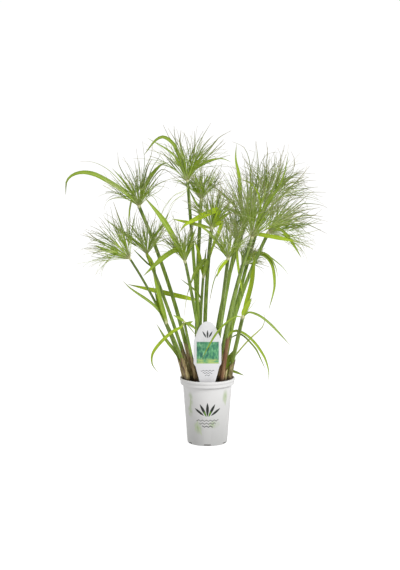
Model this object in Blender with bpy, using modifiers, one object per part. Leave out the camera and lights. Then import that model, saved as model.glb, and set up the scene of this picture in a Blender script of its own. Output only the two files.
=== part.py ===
# Potted umbrella sedge: a white nursery pot with soil, a plant tag and a young clump
# of stems, each topped by a tuft of rays with leafy bracts.
# Units are metres, +Z is up, the origin is the centre of the pot's underside,
# and the front of the pot, where the tag stands, faces -Y.
# Sizes below are in millimetres and MM turns them into metres.

import math
import random

import bmesh
import bpy
import numpy as np
from mathutils import Quaternion, Vector

MM = 0.001
FIT = 0.3                      # gap left between pieces that touch

POT_HEIGHT = 130.0
RIM_RADIUS = 54.0              # the pot is 4 1/4 inches across its rim
RIM_BAND = 13.0                # height of the stepped band under the rim
BODY_TOP_RADIUS = 48.0
FOOT_RADIUS = 39.0
WALL = 1.2
FLOOR = 1.3
LIP = 1.6                      # how far the rolled lip thickens the rim
TURN_STEPS = 32

SLOT_COUNT = 6
SLOT_SIZE = (13.0, 2.1)        # width and height of a drain slot
SLOT_RISE = 1.4                # foot of the slot above the ground

SOIL_TOP = 122.0
SOIL_BOTTOM = FLOOR + FIT

TAG_WIDTH = 54.0
TAG_THICK = 0.8
TAG_FRONT = -42.0
TAG_TOP = 248.0
TAG_ARCH_FOOT = 202.0          # where the arched top meets the straight sides
TAG_SIDE_FOOT = 166.0          # where the sides step in
TAG_SHOULDER = (46.0, 7.0)     # width under that step, and how far down it is
TAG_STAKE_WIDTH = 30.0         # width at the soil
TAG_STAKE_FOOT = (22.0, 10.0)  # width and depth in the soil where the point starts
TAG_TIP = 86.0
TAG_POINT_WIDTH = 3.0
TAG_ARCH_STEPS = 8

CROWN_FLOOR = SOIL_TOP + FIT
CROWN_RISE = 9.0
CROWN_SINK = 1.5               # the dome's widest level stands this far above its floor
STEM_ROOT = CROWN_FLOOR + 3.0  # stems start inside the dome
SHEATH_FLARE = (1.6, 0.5)      # how much wider than its stem a sheath is, foot and top
CROWNS = {
    "left": {"centre": (-25.0, -2.0), "spread": (23.0, 33.0)},
    "right": {"centre": (25.0, -1.0), "spread": (21.5, 34.0)},
}

STEM_SIDES = 6
STEM_STEPS = 5
SHEATH_SIDES = 6
SHEATH_STEPS = 2
LEAF_KEEL = 0.3                # keel depth as a share of the leaf's width
LEAF_TIP = 0.7
RAY_MID = 0.42                 # where a ray's middle section sits along it
RAY_WIDTH = (2.4, 0.5)         # width of a ray at that section and at its tip
RAY_SAG = 0.10                 # how far a level ray's tip hangs, as a share of its length
RAY_LENGTHS = (0.84, 1.0)      # shortest and longest ray of a tuft, as a share
HUB_FLARE = 1.6                # how much wider than its stem a hub is, in radius
HUB_FLAT = 0.55                # where the hub's underside is cut flat, in radii
THICKET_STEP = 2.5             # spacing of the points that stand for stems and leaves
THICKET_ROOM = 0.7             # least room between a ray and what it passes

# Each shoot: where its stem leaves the crown, where its head sits, how far the
# stem bows sideways at half height, and its thickness at foot and top.
# "rays" gives the tuft: heading and pitch of its middle, half angle, length, count.
# A leaf is (heading, pitches from foot to tip, length, width); heading 0 is +X,
# 90 is away from the front, and pitch is the climb above the horizontal.
SHOOTS = {
    "01": {"crown": "left", "foot": (-27, 9), "hub": (-134, 60, 460), "bow": (10, 0),
           "girth": (8, 6.4), "sheath": 52,
           "rays": (180, 80, 52, 98, 20),
           "leaves": [(190, (46, 34, 24, 4, -30, -82), 200, 9),
                      (203, (42, 32), 92, 7),
                      (20, (78, 58, 20, 2), 114, 6.5),
                      (235, (30, -60, -85), 74, 4.5),
                      (172, (58, 48, 8), 148, 3)]},
    "02": {"crown": "left", "foot": (-9, 9), "hub": (-39, 20, 514), "bow": (0, 0),
           "girth": (7, 5.6), "sheath": 30,
           "rays": (90, 88, 46, 116, 20),
           "leaves": [(190, (74, 70, 45, 0, -35, -52), 160, 7.5),
                      (-15, (45, 40, 15, -10, -50), 120, 6),
                      (165, (52, 44), 72, 3.5),
                      (145, (28, 14), 68, 3.5),
                      (50, (48, 45), 116, 3.5)]},
    "03": {"crown": "left", "foot": (-44, -6), "hub": (-148, -60, 372), "bow": (12, 0),
           "girth": (5.5, 4.2), "sheath": 34,
           "rays": (182, 46, 46, 108, 20),
           "leaves": [(180, (20, 10, 25), 75, 6),
                      (200, (60, 40), 98, 4)]},
    "04": {"crown": "left", "foot": (-31, -11), "hub": (-117, -10, 374), "bow": (4, 0),
           "girth": (7, 5.6), "sheath": 46,
           "rays": (180, 86, 46, 92, 20),
           "leaves": [(30, (58, 40), 74, 4.5)]},
    "05": {"crown": "left", "foot": (-37, -21), "hub": (-79, -50, 247), "bow": (4, 0),
           "girth": (7, 5.4), "sheath": 30,
           "leaves": [(172, (68, 75), 74, 10),
                      (190, (50, 56, 45, 32, 40), 122, 5)]},
    "06": {"crown": "left", "foot": (-4, -17), "hub": (-43, -72, 368), "bow": (2, 10),
           "girth": (7, 5.6), "sheath": 26,
           "rays": (150, 80, 36, 86, 16),
           "leaves": [(205, (70, 54, 55, 50, 46), 155, 8.5),
                      (195, (66, 0, -35, -36), 112, 8.5),
                      (20, (72, 84), 62, 7)]},
    "07": {"crown": "left", "foot": (-4, -4), "hub": (8, -60, 431), "bow": (-5, 10),
           "girth": (8, 6.4), "sheath": 30,
           "rays": (90, 88, 42, 96, 18),
           "leaves": [(215, (112, 104, 92, -12, -20, -28, -35), 136, 10),
                      (-20, (50, 38, 15), 70, 6.5),
                      (178, (40, 30, 16, 8), 84, 6),
                      (10, (70, 88), 82, 6.5)]},
    "08": {"crown": "left", "foot": (-20, 26), "hub": (-12, 100, 469), "bow": (-4, 0),
           "girth": (8, 6.4), "sheath": 34,
           "rays": (90, 84, 46, 84, 18),
           "leaves": [(185, (60, 50), 42, 7),
                      (165, (74, 76), 54, 8)]},
    "09": {"crown": "right", "foot": (12, -11), "hub": (39, -88, 376), "bow": (0, 8),
           "girth": (8, 6.4), "sheath": 26,
           "rays": (-60, 82, 42, 92, 18),
           "leaves": [(195, (-30, -58, -70, -82), 128, 4.5),
                      (40, (62, 74), 40, 6)]},
    "10": {"crown": "right", "foot": (11, 8), "hub": (57, 30, 396), "bow": (-3, 0),
           "girth": (8, 6.4), "sheath": 28,
           "rays": (90, 86, 40, 96, 18),
           "leaves": [(30, (70, 65), 46, 7),
                      (-50, (-20, -88, -82, -78), 112, 6)]},
    "11": {"crown": "right", "foot": (11, 23), "hub": (78, 120, 419), "bow": (-12, 0),
           "girth": (9, 7.4), "sheath": 30,
           "rays": (80, 80, 44, 140, 20),
           "leaves": [(190, (76, 36, 26, 32), 62, 5.5),
                      (200, (66, 88, 90, 88, 80), 150, 7.5)]},
    "12": {"crown": "right", "foot": (21, -11), "hub": (85, -30, 409), "bow": (-8, 0),
           "girth": (8.5, 7), "sheath": 34,
           "rays": (0, 76, 46, 128, 20),
           "leaves": [(-12, (30, -6, -8, -8), 98, 6),
                      (150, (66, 50), 60, 6)]},
    "13": {"crown": "right", "foot": (27, 11), "hub": (119, 35, 411), "bow": (-13, 0),
           "girth": (8, 6.4), "sheath": 38,
           "rays": (8, 30, 50, 120, 20),
           "leaves": [(12, (8, -42, -60), 98, 5.5),
                      (-30, (20, 5, -20), 90, 5)]},
    "14": {"crown": "right", "foot": (22, 21), "hub": (68, 76, 339), "bow": (0, 0),
           "girth": (6, 5), "sheath": 30,
           "rays": (20, 56, 40, 66, 14),
           "leaves": [(10, (37, 15, -50, -80, -93, -103), 176, 6),
                      (-16, (39, 12, -39, -70), 115, 5),
                      (-3, (39, 10, -42, -40), 120, 5)]},
    "15": {"crown": "right", "foot": (41, -14), "hub": (68, -60, 259), "bow": (0, 0),
           "girth": (8.5, 7), "sheath": 26,
           "leaves": [(0, (70, 80, 86, 94), 128, 11),
                      (-15, (35, -10, -30, -44, -44), 118, 5.5),
                      (200, (30, 24, -18, -42, -55, -56), 128, 6)]},
    "16": {"crown": "left", "foot": (-21, -23), "hub": (-45, -55, 249), "bow": (0, 0),
           "girth": (6, 4.6), "sheath": 34,
           "leaves": [(150, (36, 30), 28, 4),
                      (200, (-40, -34, -42, -50, -72, -100, -128), 128, 5.5),
                      (-10, (10, -34), 26, 4)]},
    "17": {"crown": "left", "foot": (-15, -8), "hub": (-8, -44, 335), "bow": (-2, 5),
           "girth": (6, 4.8), "sheath": 22,
           "leaves": [(170, (78, 75, 67), 76, 5.5),
                      (172, (88, 88, -30, -50, -60, -65, -70, -72, -78, -82), 158, 5.5),
                      (10, (84, 86), 58, 5)]},
    "18": {"crown": "left", "foot": (-16, 15), "hub": (-16, 38, 275), "bow": (0, 0),
           "girth": (6, 4.6), "sheath": 24,
           "leaves": [(172, (14, 12, 10, 12), 142, 7),
                      (160, (60, 46, 36), 58, 4)]},
    "19": {"crown": "right", "foot": (32, 26), "hub": (118, 140, 455), "bow": (-8, 0),
           "girth": (8, 6.4), "sheath": 30,
           "rays": (20, 66, 48, 130, 20),
           "leaves": [(20, (52, 65, 80), 118, 6),
                      (14, (10, -45, -66), 115, 3.5),
                      (30, (32, 48), 102, 3.5)]},
}

# Bare sheaths stand in the crown with no stem of their own: foot, top and girth.
BARE_SHEATHS = {
    "left": [{"foot": (-41, -15), "top": (-43, -17, 149), "girth": (9, 6)}],
    "right": [{"foot": (27, -29), "top": (40, -37, 216), "girth": (8, 6)},
              {"foot": (38, -2), "top": (43, -4, 152), "girth": (9, 6)}],
}

# Leaves that come straight out of the crowns.
BASAL_LEAVES = {
    "left_pale": {"foot": (-43, -17, 149.6),
                  "leaf": (216, (70, 72, 60, 58, 54), 134, 6.5)},
    "right_arching": {"foot": (40.6, -37.4, 218),
                      "leaf": (-15, (45, 0, -25, -48, -56, -66, -84), 142, 5.5)},
    "right_dried": {"foot": (46, 2, 133),
                    "leaf": (12, (86, 70, 50, 46, 42, 45, 75, 140), 162, 5)},
    "right_blade": {"foot": (33, -21, 134), "leaf": (-10, (92, 84, 80), 76, 7)},
    "right_small": {"foot": (48, -10, 132), "leaf": (0, (60, 20, -20), 40, 5)},
}


def finish(name, colour, roughness, specular=0.5):
    material = bpy.data.materials.new(name)
    material.use_nodes = True
    shader = material.node_tree.nodes["Principled BSDF"]
    shader.inputs["Base Color"].default_value = (*colour, 1.0)
    shader.inputs["Roughness"].default_value = roughness
    shader.inputs["Metallic"].default_value = 0.0
    shader.inputs["Specular IOR Level"].default_value = specular
    return material


def collection(name):
    group = bpy.data.collections.new(name)
    bpy.context.scene.collection.children.link(group)
    return group


def place(name, mesh, group, root=None, material=None):
    obj = bpy.data.objects.new(name, mesh)
    group.objects.link(obj)
    obj.parent = root
    if material:
        mesh.materials.append(material)
    return obj


def mesh_from(bm, name):
    bmesh.ops.recalc_face_normals(bm, faces=bm.faces)
    mesh = bpy.data.meshes.new(name)
    bm.to_mesh(mesh)
    bm.free()
    return mesh


def soften(mesh, degrees=40):
    mesh.shade_smooth()
    mesh.set_sharp_from_angle(angle=math.radians(degrees))


def apply_cut(obj, cutter, operation):
    change = obj.modifiers.new(operation.lower(), "BOOLEAN")
    change.operation = operation
    change.object = cutter
    change.solver = "EXACT"


def make_cutter(obj):
    obj.hide_render = True
    obj.display_type = "WIRE"


def baked(obj):
    """An object's mesh with its modifiers applied and its loose caps welded."""
    bpy.context.view_layer.update()
    seen = obj.evaluated_get(bpy.context.evaluated_depsgraph_get())
    mesh = bpy.data.meshes.new_from_object(seen)
    bm = bmesh.new()
    bm.from_mesh(mesh)
    bmesh.ops.remove_doubles(bm, verts=bm.verts, dist=0.00001)
    bmesh.ops.recalc_face_normals(bm, faces=bm.faces)
    bm.to_mesh(mesh)
    bm.free()
    return mesh


def turned(name, profile, group, root, material):
    """Turn a profile of (radius, height) pairs about Z; its outer side runs downwards."""
    bm = bmesh.new()
    verts = [bm.verts.new((radius * MM, 0.0, height * MM)) for radius, height in profile]
    for a, b in zip(verts, verts[1:]):
        bm.edges.new((a, b))
    mesh = bpy.data.meshes.new(name)
    bm.to_mesh(mesh)
    bm.free()
    obj = place(name, mesh, group, root, material)
    screw = obj.modifiers.new("turn", "SCREW")
    screw.steps = TURN_STEPS
    screw.render_steps = TURN_STEPS
    screw.use_merge_vertices = True
    screw.merge_threshold = 0.00005
    screw.use_smooth_shade = True
    return obj


def body_radius(height):
    """Outer radius of the tapering pot body at a height."""
    share = height / (POT_HEIGHT - RIM_BAND)
    return FOOT_RADIUS + (BODY_TOP_RADIUS - FOOT_RADIUS) * share


def make_pot(group, cutters, root):
    step = POT_HEIGHT - RIM_BAND
    inner_rim = RIM_RADIUS - WALL
    profile = [
        (0, FLOOR),
        (FOOT_RADIUS - WALL - 1.0, FLOOR),
        (body_radius(FLOOR + 1.0) - WALL, FLOOR + 1.0),
        (BODY_TOP_RADIUS - WALL, step + WALL),
        (inner_rim, step + WALL),
        (inner_rim, POT_HEIGHT - 3.0),
        (inner_rim - LIP, POT_HEIGHT - 1.6),
        (inner_rim - LIP * 0.6, POT_HEIGHT),
        (RIM_RADIUS - 0.8, POT_HEIGHT),
        (RIM_RADIUS, POT_HEIGHT - 1.0),
        (RIM_RADIUS, step),
        (BODY_TOP_RADIUS, step),
        (body_radius(1.0), 1.0),
        (FOOT_RADIUS - 1.0, 0),
        (0, 0),
    ]
    pot = turned("pot", profile, group, root, finish("pot white", (0.80, 0.80, 0.79), 0.42))
    width, height = SLOT_SIZE
    for number in range(SLOT_COUNT):
        turn = math.radians(360 / SLOT_COUNT * number)
        bm = bmesh.new()
        bmesh.ops.create_cube(bm, size=1.0)
        bmesh.ops.scale(bm, vec=(8 * MM, width * MM, height * MM), verts=bm.verts)
        cutter = place("slot_cutter_%d" % (number + 1), mesh_from(bm, "slot"), cutters)
        radius = (FOOT_RADIUS - WALL / 2) * MM
        cutter.location = (radius * math.sin(turn), -radius * math.cos(turn),
                           (SLOT_RISE + height / 2) * MM)
        cutter.rotation_euler = (0, 0, turn - math.pi / 2)
        make_cutter(cutter)
        apply_cut(pot, cutter, "DIFFERENCE")
    return pot


def tag_outline(gap):
    """The tag's outline from its point up one side and down the other, a gap outside it."""
    half = TAG_WIDTH / 2
    side = [
        (TAG_POINT_WIDTH / 2, TAG_TIP - gap),
        (TAG_STAKE_FOOT[0] / 2, SOIL_TOP - TAG_STAKE_FOOT[1]),
        (TAG_STAKE_WIDTH / 2, SOIL_TOP + 6.0),
        (TAG_SHOULDER[0] / 2, TAG_SIDE_FOOT - TAG_SHOULDER[1]),
        (half, TAG_SIDE_FOOT),
    ]
    for number in range(TAG_ARCH_STEPS):
        turn = math.radians(90 / TAG_ARCH_STEPS * number)
        side.append((half * math.cos(turn) - math.sin(2 * turn),
                     TAG_ARCH_FOOT + (TAG_TOP - TAG_ARCH_FOOT) * math.sin(turn)))
    side = [(x + gap, z) for x, z in side]
    left = [(-x, z) for x, z in reversed(side)]
    return side + [(0, TAG_TOP + gap)] + left


def flat_curve(name, outline, thick, group):
    curve = bpy.data.curves.new(name, "CURVE")
    curve.dimensions = "2D"
    curve.fill_mode = "BOTH"
    curve.extrude = thick / 2 * MM
    spline = curve.splines.new("POLY")
    spline.points.add(len(outline) - 1)
    for point, (x, z) in zip(spline.points, outline):
        point.co = (x * MM, z * MM, 0.0, 1.0)
    spline.use_cyclic_u = True
    curve.render_resolution_u = 0
    obj = bpy.data.objects.new(name, curve)
    group.objects.link(obj)
    return obj


def upright(name, outline, thick, group, root=None, material=None):
    """A flat outline stood up facing the front, as a welded mesh object."""
    curve = flat_curve(name + "_curve", outline, thick, group)
    obj = place(name, baked(curve), group, root, material)
    bpy.data.objects.remove(curve)
    obj.location = (0, TAG_FRONT * MM, 0)
    obj.rotation_euler = (math.radians(90), 0, 0)
    return obj


def make_tag(group, root):
    return upright("plant_tag", tag_outline(0), TAG_THICK, group, root,
                   finish("tag white", (0.86, 0.86, 0.88), 0.35))


def make_soil(group, cutters, root):
    step = POT_HEIGHT - RIM_BAND + WALL
    low = SOIL_BOTTOM + 1.4
    profile = [
        (0, SOIL_TOP),
        (44.0, SOIL_TOP),
        (RIM_RADIUS - WALL - FIT, SOIL_TOP - 1.2),
        (RIM_RADIUS - WALL - FIT, step + FIT),
        (BODY_TOP_RADIUS - WALL - FIT, step + FIT),
        (body_radius(low) - WALL - FIT, low),
        (FOOT_RADIUS - WALL - 1.6, SOIL_BOTTOM),
        (0, SOIL_BOTTOM),
    ]
    soil = turned("soil", profile, group, root, finish("potting soil", (0.035, 0.025, 0.018), 0.95))
    cutter = upright("tag_slot_cutter", tag_outline(FIT), TAG_THICK + 2 * FIT, cutters)
    make_cutter(cutter)
    apply_cut(soil, cutter, "DIFFERENCE")
    return soil


def stem_point(shoot, share):
    """A point on a stem, from 0 at the crown to 1 at the head."""
    foot = Vector((*shoot["foot"], STEM_ROOT))
    hub = Vector(shoot["hub"])
    bow = Vector((*shoot["bow"], 0.0)) * 4.0 * share * (1.0 - share)
    return (foot.lerp(hub, share) + bow) * MM


def stem_length(shoot):
    return (stem_point(shoot, 1.0) - stem_point(shoot, 0.0)).length


def sheath_share(shoot):
    return shoot["sheath"] * MM / stem_length(shoot)


def hub_radius(shoot):
    return (shoot["girth"][1] / 2 + HUB_FLARE) * MM


def stem_route(shoot, steps):
    """Points from just above the sheath to just under the head."""
    length = stem_length(shoot)
    start = sheath_share(shoot) + FIT * MM / length
    end = 1.0 - (hub_radius(shoot) * HUB_FLAT + FIT * MM) / length
    return [stem_point(shoot, start + (end - start) * i / steps) for i in range(steps + 1)]


def head_direction(shoot):
    """The direction in which a stem runs into its head."""
    return (stem_point(shoot, 1.0) - stem_point(shoot, 0.97)).normalized()


def grow(bm, face, route, section):
    """Extrude one face along a route; section(i, direction, face) moves its corners."""
    before = face.calc_center_median()
    for number, point in enumerate(route):
        heading = (point - before).normalized()
        face = bmesh.ops.extrude_discrete_faces(bm, faces=[face])["faces"][0]
        section(face, number, point, heading)
        before = point
    return face


def tube(name, route, radii, sides, group, root=None, material=None):
    """A round stem along a route, square to it at both ends."""
    bm = bmesh.new()
    bmesh.ops.create_circle(bm, cap_ends=True, segments=sides, radius=radii[0])
    heading = (route[1] - route[0]).normalized()
    turn = heading.to_track_quat("Z", "Y")
    for vert in bm.verts:
        vert.co = turn @ vert.co + route[0]
    bm.faces.ensure_lookup_table()
    bottom = bm.faces[0]
    bottom.normal_update()
    if bottom.normal.dot(heading) < 0:
        bottom.normal_flip()
    centre = route[0]
    spokes = [(vert.co - centre).normalized() for vert in bottom.verts]
    face = bottom
    for number in range(1, len(route)):
        ahead = route[min(number + 1, len(route) - 1)] - route[number - 1]
        bend = heading.rotation_difference(ahead.normalized())
        heading = ahead.normalized()
        spokes = [bend @ spoke for spoke in spokes]
        ring = bmesh.ops.extrude_face_region(bm, geom=[face])["geom"]
        if number > 1:
            bmesh.ops.delete(bm, geom=[face], context="FACES_ONLY")
        face = [item for item in ring if isinstance(item, bmesh.types.BMFace)][0]
        for vert, spoke in zip(face.verts, spokes):
            vert.co = route[number] + spoke * radii[number]
    return place(name, mesh_from(bm, name), group, root, material)


def taper(first, last, count):
    return [(first + (last - first) * i / (count - 1)) * MM for i in range(count)]


def make_stem(number, shoot, group, root, material):
    route = stem_route(shoot, STEM_STEPS)
    girth = shoot["girth"]
    radii = taper(girth[0] / 2, girth[1] / 2, len(route))
    stem = tube("stem_" + number, route, radii, STEM_SIDES, group, root, material)
    soften(stem.data, 70)
    return stem


def leaf_route(start, leaf, steps):
    """Points along a leaf that climbs and droops through its pitches."""
    heading, pitches, length, width = leaf
    turn = math.radians(heading)
    level = Vector((math.cos(turn), math.sin(turn), 0.0))
    point = start.copy()
    route = []
    for number in range(steps):
        place_in_list = (number + 0.5) / steps * len(pitches) - 0.5
        place_in_list = min(max(place_in_list, 0.0), len(pitches) - 1.0)
        low = int(place_in_list)
        high = min(low + 1, len(pitches) - 1)
        pitch = pitches[low] + (pitches[high] - pitches[low]) * (place_in_list - low)
        climb = math.radians(pitch)
        stride = level * math.cos(climb) + Vector((0, 0, math.sin(climb)))
        point = point + stride * (length / steps * MM)
        route.append(point.copy())
    return route


def leaf_steps(leaf):
    return max(4, min(8, len(leaf[1]) + 1))


def leaf_width(share, width):
    """Narrow at the foot, full by a quarter of the way, drawn out to a fine tip."""
    swell = min(1.0, 0.6 + share * 1.8)
    fade = min(1.0, (1.0 - share) * 1.9)
    return max(LEAF_TIP, width * swell * fade ** 0.8)


def leaf_section(leaf, steps, turn):
    """Moves a face's corners to a leaf's two edges and the keel below them."""
    level_heading = math.radians(leaf[0])
    side = turn.inverted() @ Vector((-math.sin(level_heading), math.cos(level_heading), 0.0))

    def move(face, number, point, heading):
        width = leaf_width((number + 1) / steps, leaf[3]) * MM
        up = heading.cross(side).normalized()
        corners = [point + side * width / 2, point - side * width / 2,
                   point - up * width * LEAF_KEEL]
        wind = (corners[1] - corners[0]).cross(corners[2] - corners[0])
        if wind.dot(heading) < 0:
            corners.reverse()
        verts = list(face.verts)
        if number == 0:
            centre = face.calc_center_median()
            offsets = [vert.co - centre for vert in verts]
            shifts = range(len(corners))
            best = min(shifts, key=lambda s: sum(
                (offsets[i] - (corners[(i + s) % 3] - point)).length for i in range(3)))
            move.shift = best
        for i, vert in enumerate(verts):
            vert.co = corners[(i + move.shift) % 3]

    move.shift = 0
    return move


class Thicket:
    """Points along every stem and leaf, so that a ray can be kept clear of them."""

    def __init__(self):
        self.points = []
        self.radii = []
        self.owners = []

    def add(self, owner, route, radius):
        for a, b in zip(route, route[1:]):
            count = max(1, int((b - a).length / (THICKET_STEP * MM)))
            for i in range(count):
                self.points.append(tuple(a.lerp(b, i / count)))
                self.radii.append(radius)
                self.owners.append(owner)
        self.points.append(tuple(route[-1]))
        self.radii.append(radius)
        self.owners.append(owner)

    def clear(self, owner, route, radius):
        """True where a route keeps its distance from all that others own."""
        if not self.points:
            return True
        points = np.array(self.points)
        reach = np.array(self.radii) + radius + THICKET_ROOM * MM
        others = np.array(self.owners) != owner
        for a, b in zip(route, route[1:]):
            count = max(1, int((b - a).length / (THICKET_STEP * MM)))
            for i in range(count + 1):
                spot = np.array(tuple(a.lerp(b, i / count)))
                near = np.linalg.norm(points - spot, axis=1)
                if np.any((near < reach) & others):
                    return False
        return True


def make_head(number, shoot, thicket, group, root, material):
    """A hub with its leaves and, on a grown stem, its tuft of rays, all one body."""
    hub = stem_point(shoot, 1.0)
    radius = hub_radius(shoot)
    turn = head_direction(shoot).to_track_quat("Z", "Y")
    back = turn.inverted()
    bm = bmesh.new()
    bmesh.ops.create_icosphere(bm, subdivisions=2, radius=radius)
    flat = -HUB_FLAT * radius
    for vert in bm.verts:
        vert.co.z = max(vert.co.z, flat)
    free = [face for face in bm.faces if face.calc_center_median().z > flat * 0.6]
    name = ("umbel_" if "rays" in shoot else "young_shoot_") + number

    for leaf in shoot["leaves"]:
        steps = leaf_steps(leaf)
        aim = back @ leaf_route(Vector(), leaf, steps)[0].normalized()
        face = max(free, key=lambda f: f.calc_center_median().normalized().dot(aim))
        free.remove(face)
        start = turn @ face.calc_center_median() + hub
        route = leaf_route(start, leaf, steps)
        local = [back @ (point - hub) for point in route]
        grow(bm, face, local, leaf_section(leaf, steps, turn))

    if "rays" in shoot:
        heading, pitch, half_angle, length, count = shoot["rays"]
        level, climb = math.radians(heading), math.radians(pitch)
        middle = back @ Vector((math.cos(level) * math.cos(climb),
                                math.sin(level) * math.cos(climb), math.sin(climb)))
        draw = random.Random(int(number))
        free.sort(key=lambda f: f.calc_center_median().angle(middle))
        chosen = free[:count]
        widest = max(f.calc_center_median().angle(middle) for f in chosen)
        for face in chosen:
            out = face.calc_center_median().normalized()
            lean = out.angle(middle)
            reach = length * MM * draw.uniform(*RAY_LENGTHS)
            wanted = lean / widest * math.radians(half_angle)
            axis = middle.cross(out)
            if axis.length > 1e-6:
                axis.normalize()
                out = middle.copy()
                out.rotate(Quaternion(axis, wanted))
            sag = back @ Vector((0, 0, -1)) * reach * RAY_SAG * math.sin(wanted)
            start = face.calc_center_median()
            local = [start + out * reach * RAY_MID, start + out * reach + sag]
            world = [turn @ point + hub for point in [start] + local]
            if not thicket.clear(name, world, RAY_WIDTH[0] / 2 * MM):
                continue
            thicket.add(name, world, RAY_WIDTH[0] / 2 * MM)
            grow(bm, face, local, ray_section())

    obj = place(name, mesh_from(bm, name), group, root, material)
    obj.location = hub
    obj.rotation_mode = "QUATERNION"
    obj.rotation_quaternion = turn
    soften(obj.data, 35)
    return obj


def ray_section():
    """Moves a face's corners to a ray's section, square to its route."""
    def move(face, number, point, heading):
        corner = RAY_WIDTH[number] * MM / math.sqrt(3)
        centre = face.calc_center_median()
        face.normal_update()
        bend = face.normal.rotation_difference(heading)
        for vert in face.verts:
            spoke = bend @ (vert.co - centre)
            vert.co = point + spoke.normalized() * corner
    return move


def make_basal_leaf(name, spec, group, root, material):
    leaf = spec["leaf"]
    steps = leaf_steps(leaf)
    start = Vector(spec["foot"]) * MM
    route = leaf_route(start, leaf, steps)
    heading = (route[0] - start).normalized()
    bm = bmesh.new()
    bmesh.ops.create_circle(bm, cap_ends=True, segments=3, radius=leaf[3] * 0.36 * MM)
    turn = heading.to_track_quat("Z", "Y")
    for vert in bm.verts:
        vert.co = turn @ vert.co + start
    bm.faces.ensure_lookup_table()
    foot = bm.faces[0]
    foot.normal_update()
    if foot.normal.dot(heading) < 0:
        foot.normal_flip()
    copied = bmesh.ops.duplicate(bm, geom=[foot])["geom"]
    cap = [item for item in copied if isinstance(item, bmesh.types.BMFace)][0]
    cap.normal_flip()
    grow(bm, foot, route, leaf_section(leaf, steps, Quaternion()))
    bmesh.ops.remove_doubles(bm, verts=bm.verts, dist=0.01 * MM)
    obj = place("basal_leaf_" + name, mesh_from(bm, name), group, root, material)
    soften(obj.data, 35)
    return obj


def make_crown(side, group, cutters, root, material):
    """A low dome of rhizome with the basal sheaths that its stems stand in."""
    spec = CROWNS[side]
    bm = bmesh.new()
    bmesh.ops.create_uvsphere(bm, u_segments=12, v_segments=6, radius=1.0)
    bmesh.ops.scale(bm, vec=(spec["spread"][0] * MM, spec["spread"][1] * MM, CROWN_RISE * MM),
                    verts=bm.verts)
    middle = Vector((*spec["centre"], CROWN_FLOOR + CROWN_SINK)) * MM
    bmesh.ops.translate(bm, vec=middle, verts=bm.verts)
    plane = bmesh.ops.bisect_plane(bm, geom=bm.verts[:] + bm.edges[:] + bm.faces[:],
                                   plane_co=(0, 0, CROWN_FLOOR * MM), plane_no=(0, 0, -1),
                                   clear_outer=True)
    rim = [item for item in plane["geom_cut"] if isinstance(item, bmesh.types.BMEdge)]
    bmesh.ops.contextual_create(bm, geom=rim)
    crown = place("crown_" + side, mesh_from(bm, "crown_" + side), group, root, material)

    sheaths = []
    for number, shoot in SHOOTS.items():
        if shoot["crown"] != side:
            continue
        share = sheath_share(shoot)
        route = [stem_point(shoot, share * i / SHEATH_STEPS) for i in range(SHEATH_STEPS + 1)]
        radii = [shoot["girth"][0] / 2 + flare for flare in SHEATH_FLARE]
        sheaths.append((number, route, taper(*radii, len(route))))
    for index, bare in enumerate(BARE_SHEATHS[side]):
        foot = Vector((*bare["foot"], STEM_ROOT)) * MM
        top = Vector(bare["top"]) * MM
        route = [foot.lerp(top, i / SHEATH_STEPS) for i in range(SHEATH_STEPS + 1)]
        radii = [girth / 2 for girth in bare["girth"]]
        sheaths.append(("bare_%d" % (index + 1), route, taper(*radii, len(route))))
    for number, route, radii in sheaths:
        sheath = tube("sheath_cutter_" + number, route, radii, SHEATH_SIDES, cutters)
        make_cutter(sheath)
        apply_cut(crown, sheath, "UNION")
    return crown


def main():
    for obj in list(bpy.data.objects):
        bpy.data.objects.remove(obj)
    group = collection("potted_umbrella_sedge")
    cutters = collection("cutters")
    root = bpy.data.objects.new("potted_umbrella_sedge_root", None)
    group.objects.link(root)

    make_pot(group, cutters, root)
    make_soil(group, cutters, root)
    make_tag(group, root)

    sheath = finish("brown sheath", (0.30, 0.20, 0.10), 0.65)
    stem_green = finish("stem green", (0.12, 0.24, 0.06), 0.42)
    head_green = finish("leaf green", (0.22, 0.38, 0.08), 0.45)
    for side in CROWNS:
        make_crown(side, group, cutters, root, sheath)

    thicket = Thicket()
    for number, shoot in SHOOTS.items():
        make_stem(number, shoot, group, root, stem_green)
        thicket.add("stem_" + number, stem_route(shoot, STEM_STEPS), shoot["girth"][0] / 2 * MM)
        owner = ("umbel_" if "rays" in shoot else "young_shoot_") + number
        for leaf in shoot["leaves"]:
            route = leaf_route(stem_point(shoot, 1.0), leaf, leaf_steps(leaf))
            thicket.add(owner, route, leaf[3] / 2 * MM)
        thicket.add(owner, [stem_point(shoot, 1.0), stem_point(shoot, 0.99)], hub_radius(shoot))
    for name, spec in BASAL_LEAVES.items():
        make_basal_leaf(name, spec, group, root, head_green)
        route = leaf_route(Vector(spec["foot"]) * MM, spec["leaf"], leaf_steps(spec["leaf"]))
        thicket.add(name, route, spec["leaf"][3] / 2 * MM)
    for number, shoot in SHOOTS.items():
        make_head(number, shoot, thicket, group, root, head_green)


main()
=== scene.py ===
# Potted umbrella sedge, the looks: every piece is built here in place of its plain solid.
# Lengths in the settings are millimetres, the front of the pot faces -Y, and +Z is up.

import math
import random

import bmesh
import bpy
from mathutils import Matrix, Quaternion, Vector, noise
from mathutils.geometry import interpolate_bezier


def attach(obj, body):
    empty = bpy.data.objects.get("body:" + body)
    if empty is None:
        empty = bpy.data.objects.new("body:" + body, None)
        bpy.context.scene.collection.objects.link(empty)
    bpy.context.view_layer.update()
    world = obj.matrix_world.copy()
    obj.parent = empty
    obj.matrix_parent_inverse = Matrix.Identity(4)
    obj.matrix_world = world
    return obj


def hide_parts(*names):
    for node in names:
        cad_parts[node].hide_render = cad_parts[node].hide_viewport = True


mm = 0.001

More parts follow.
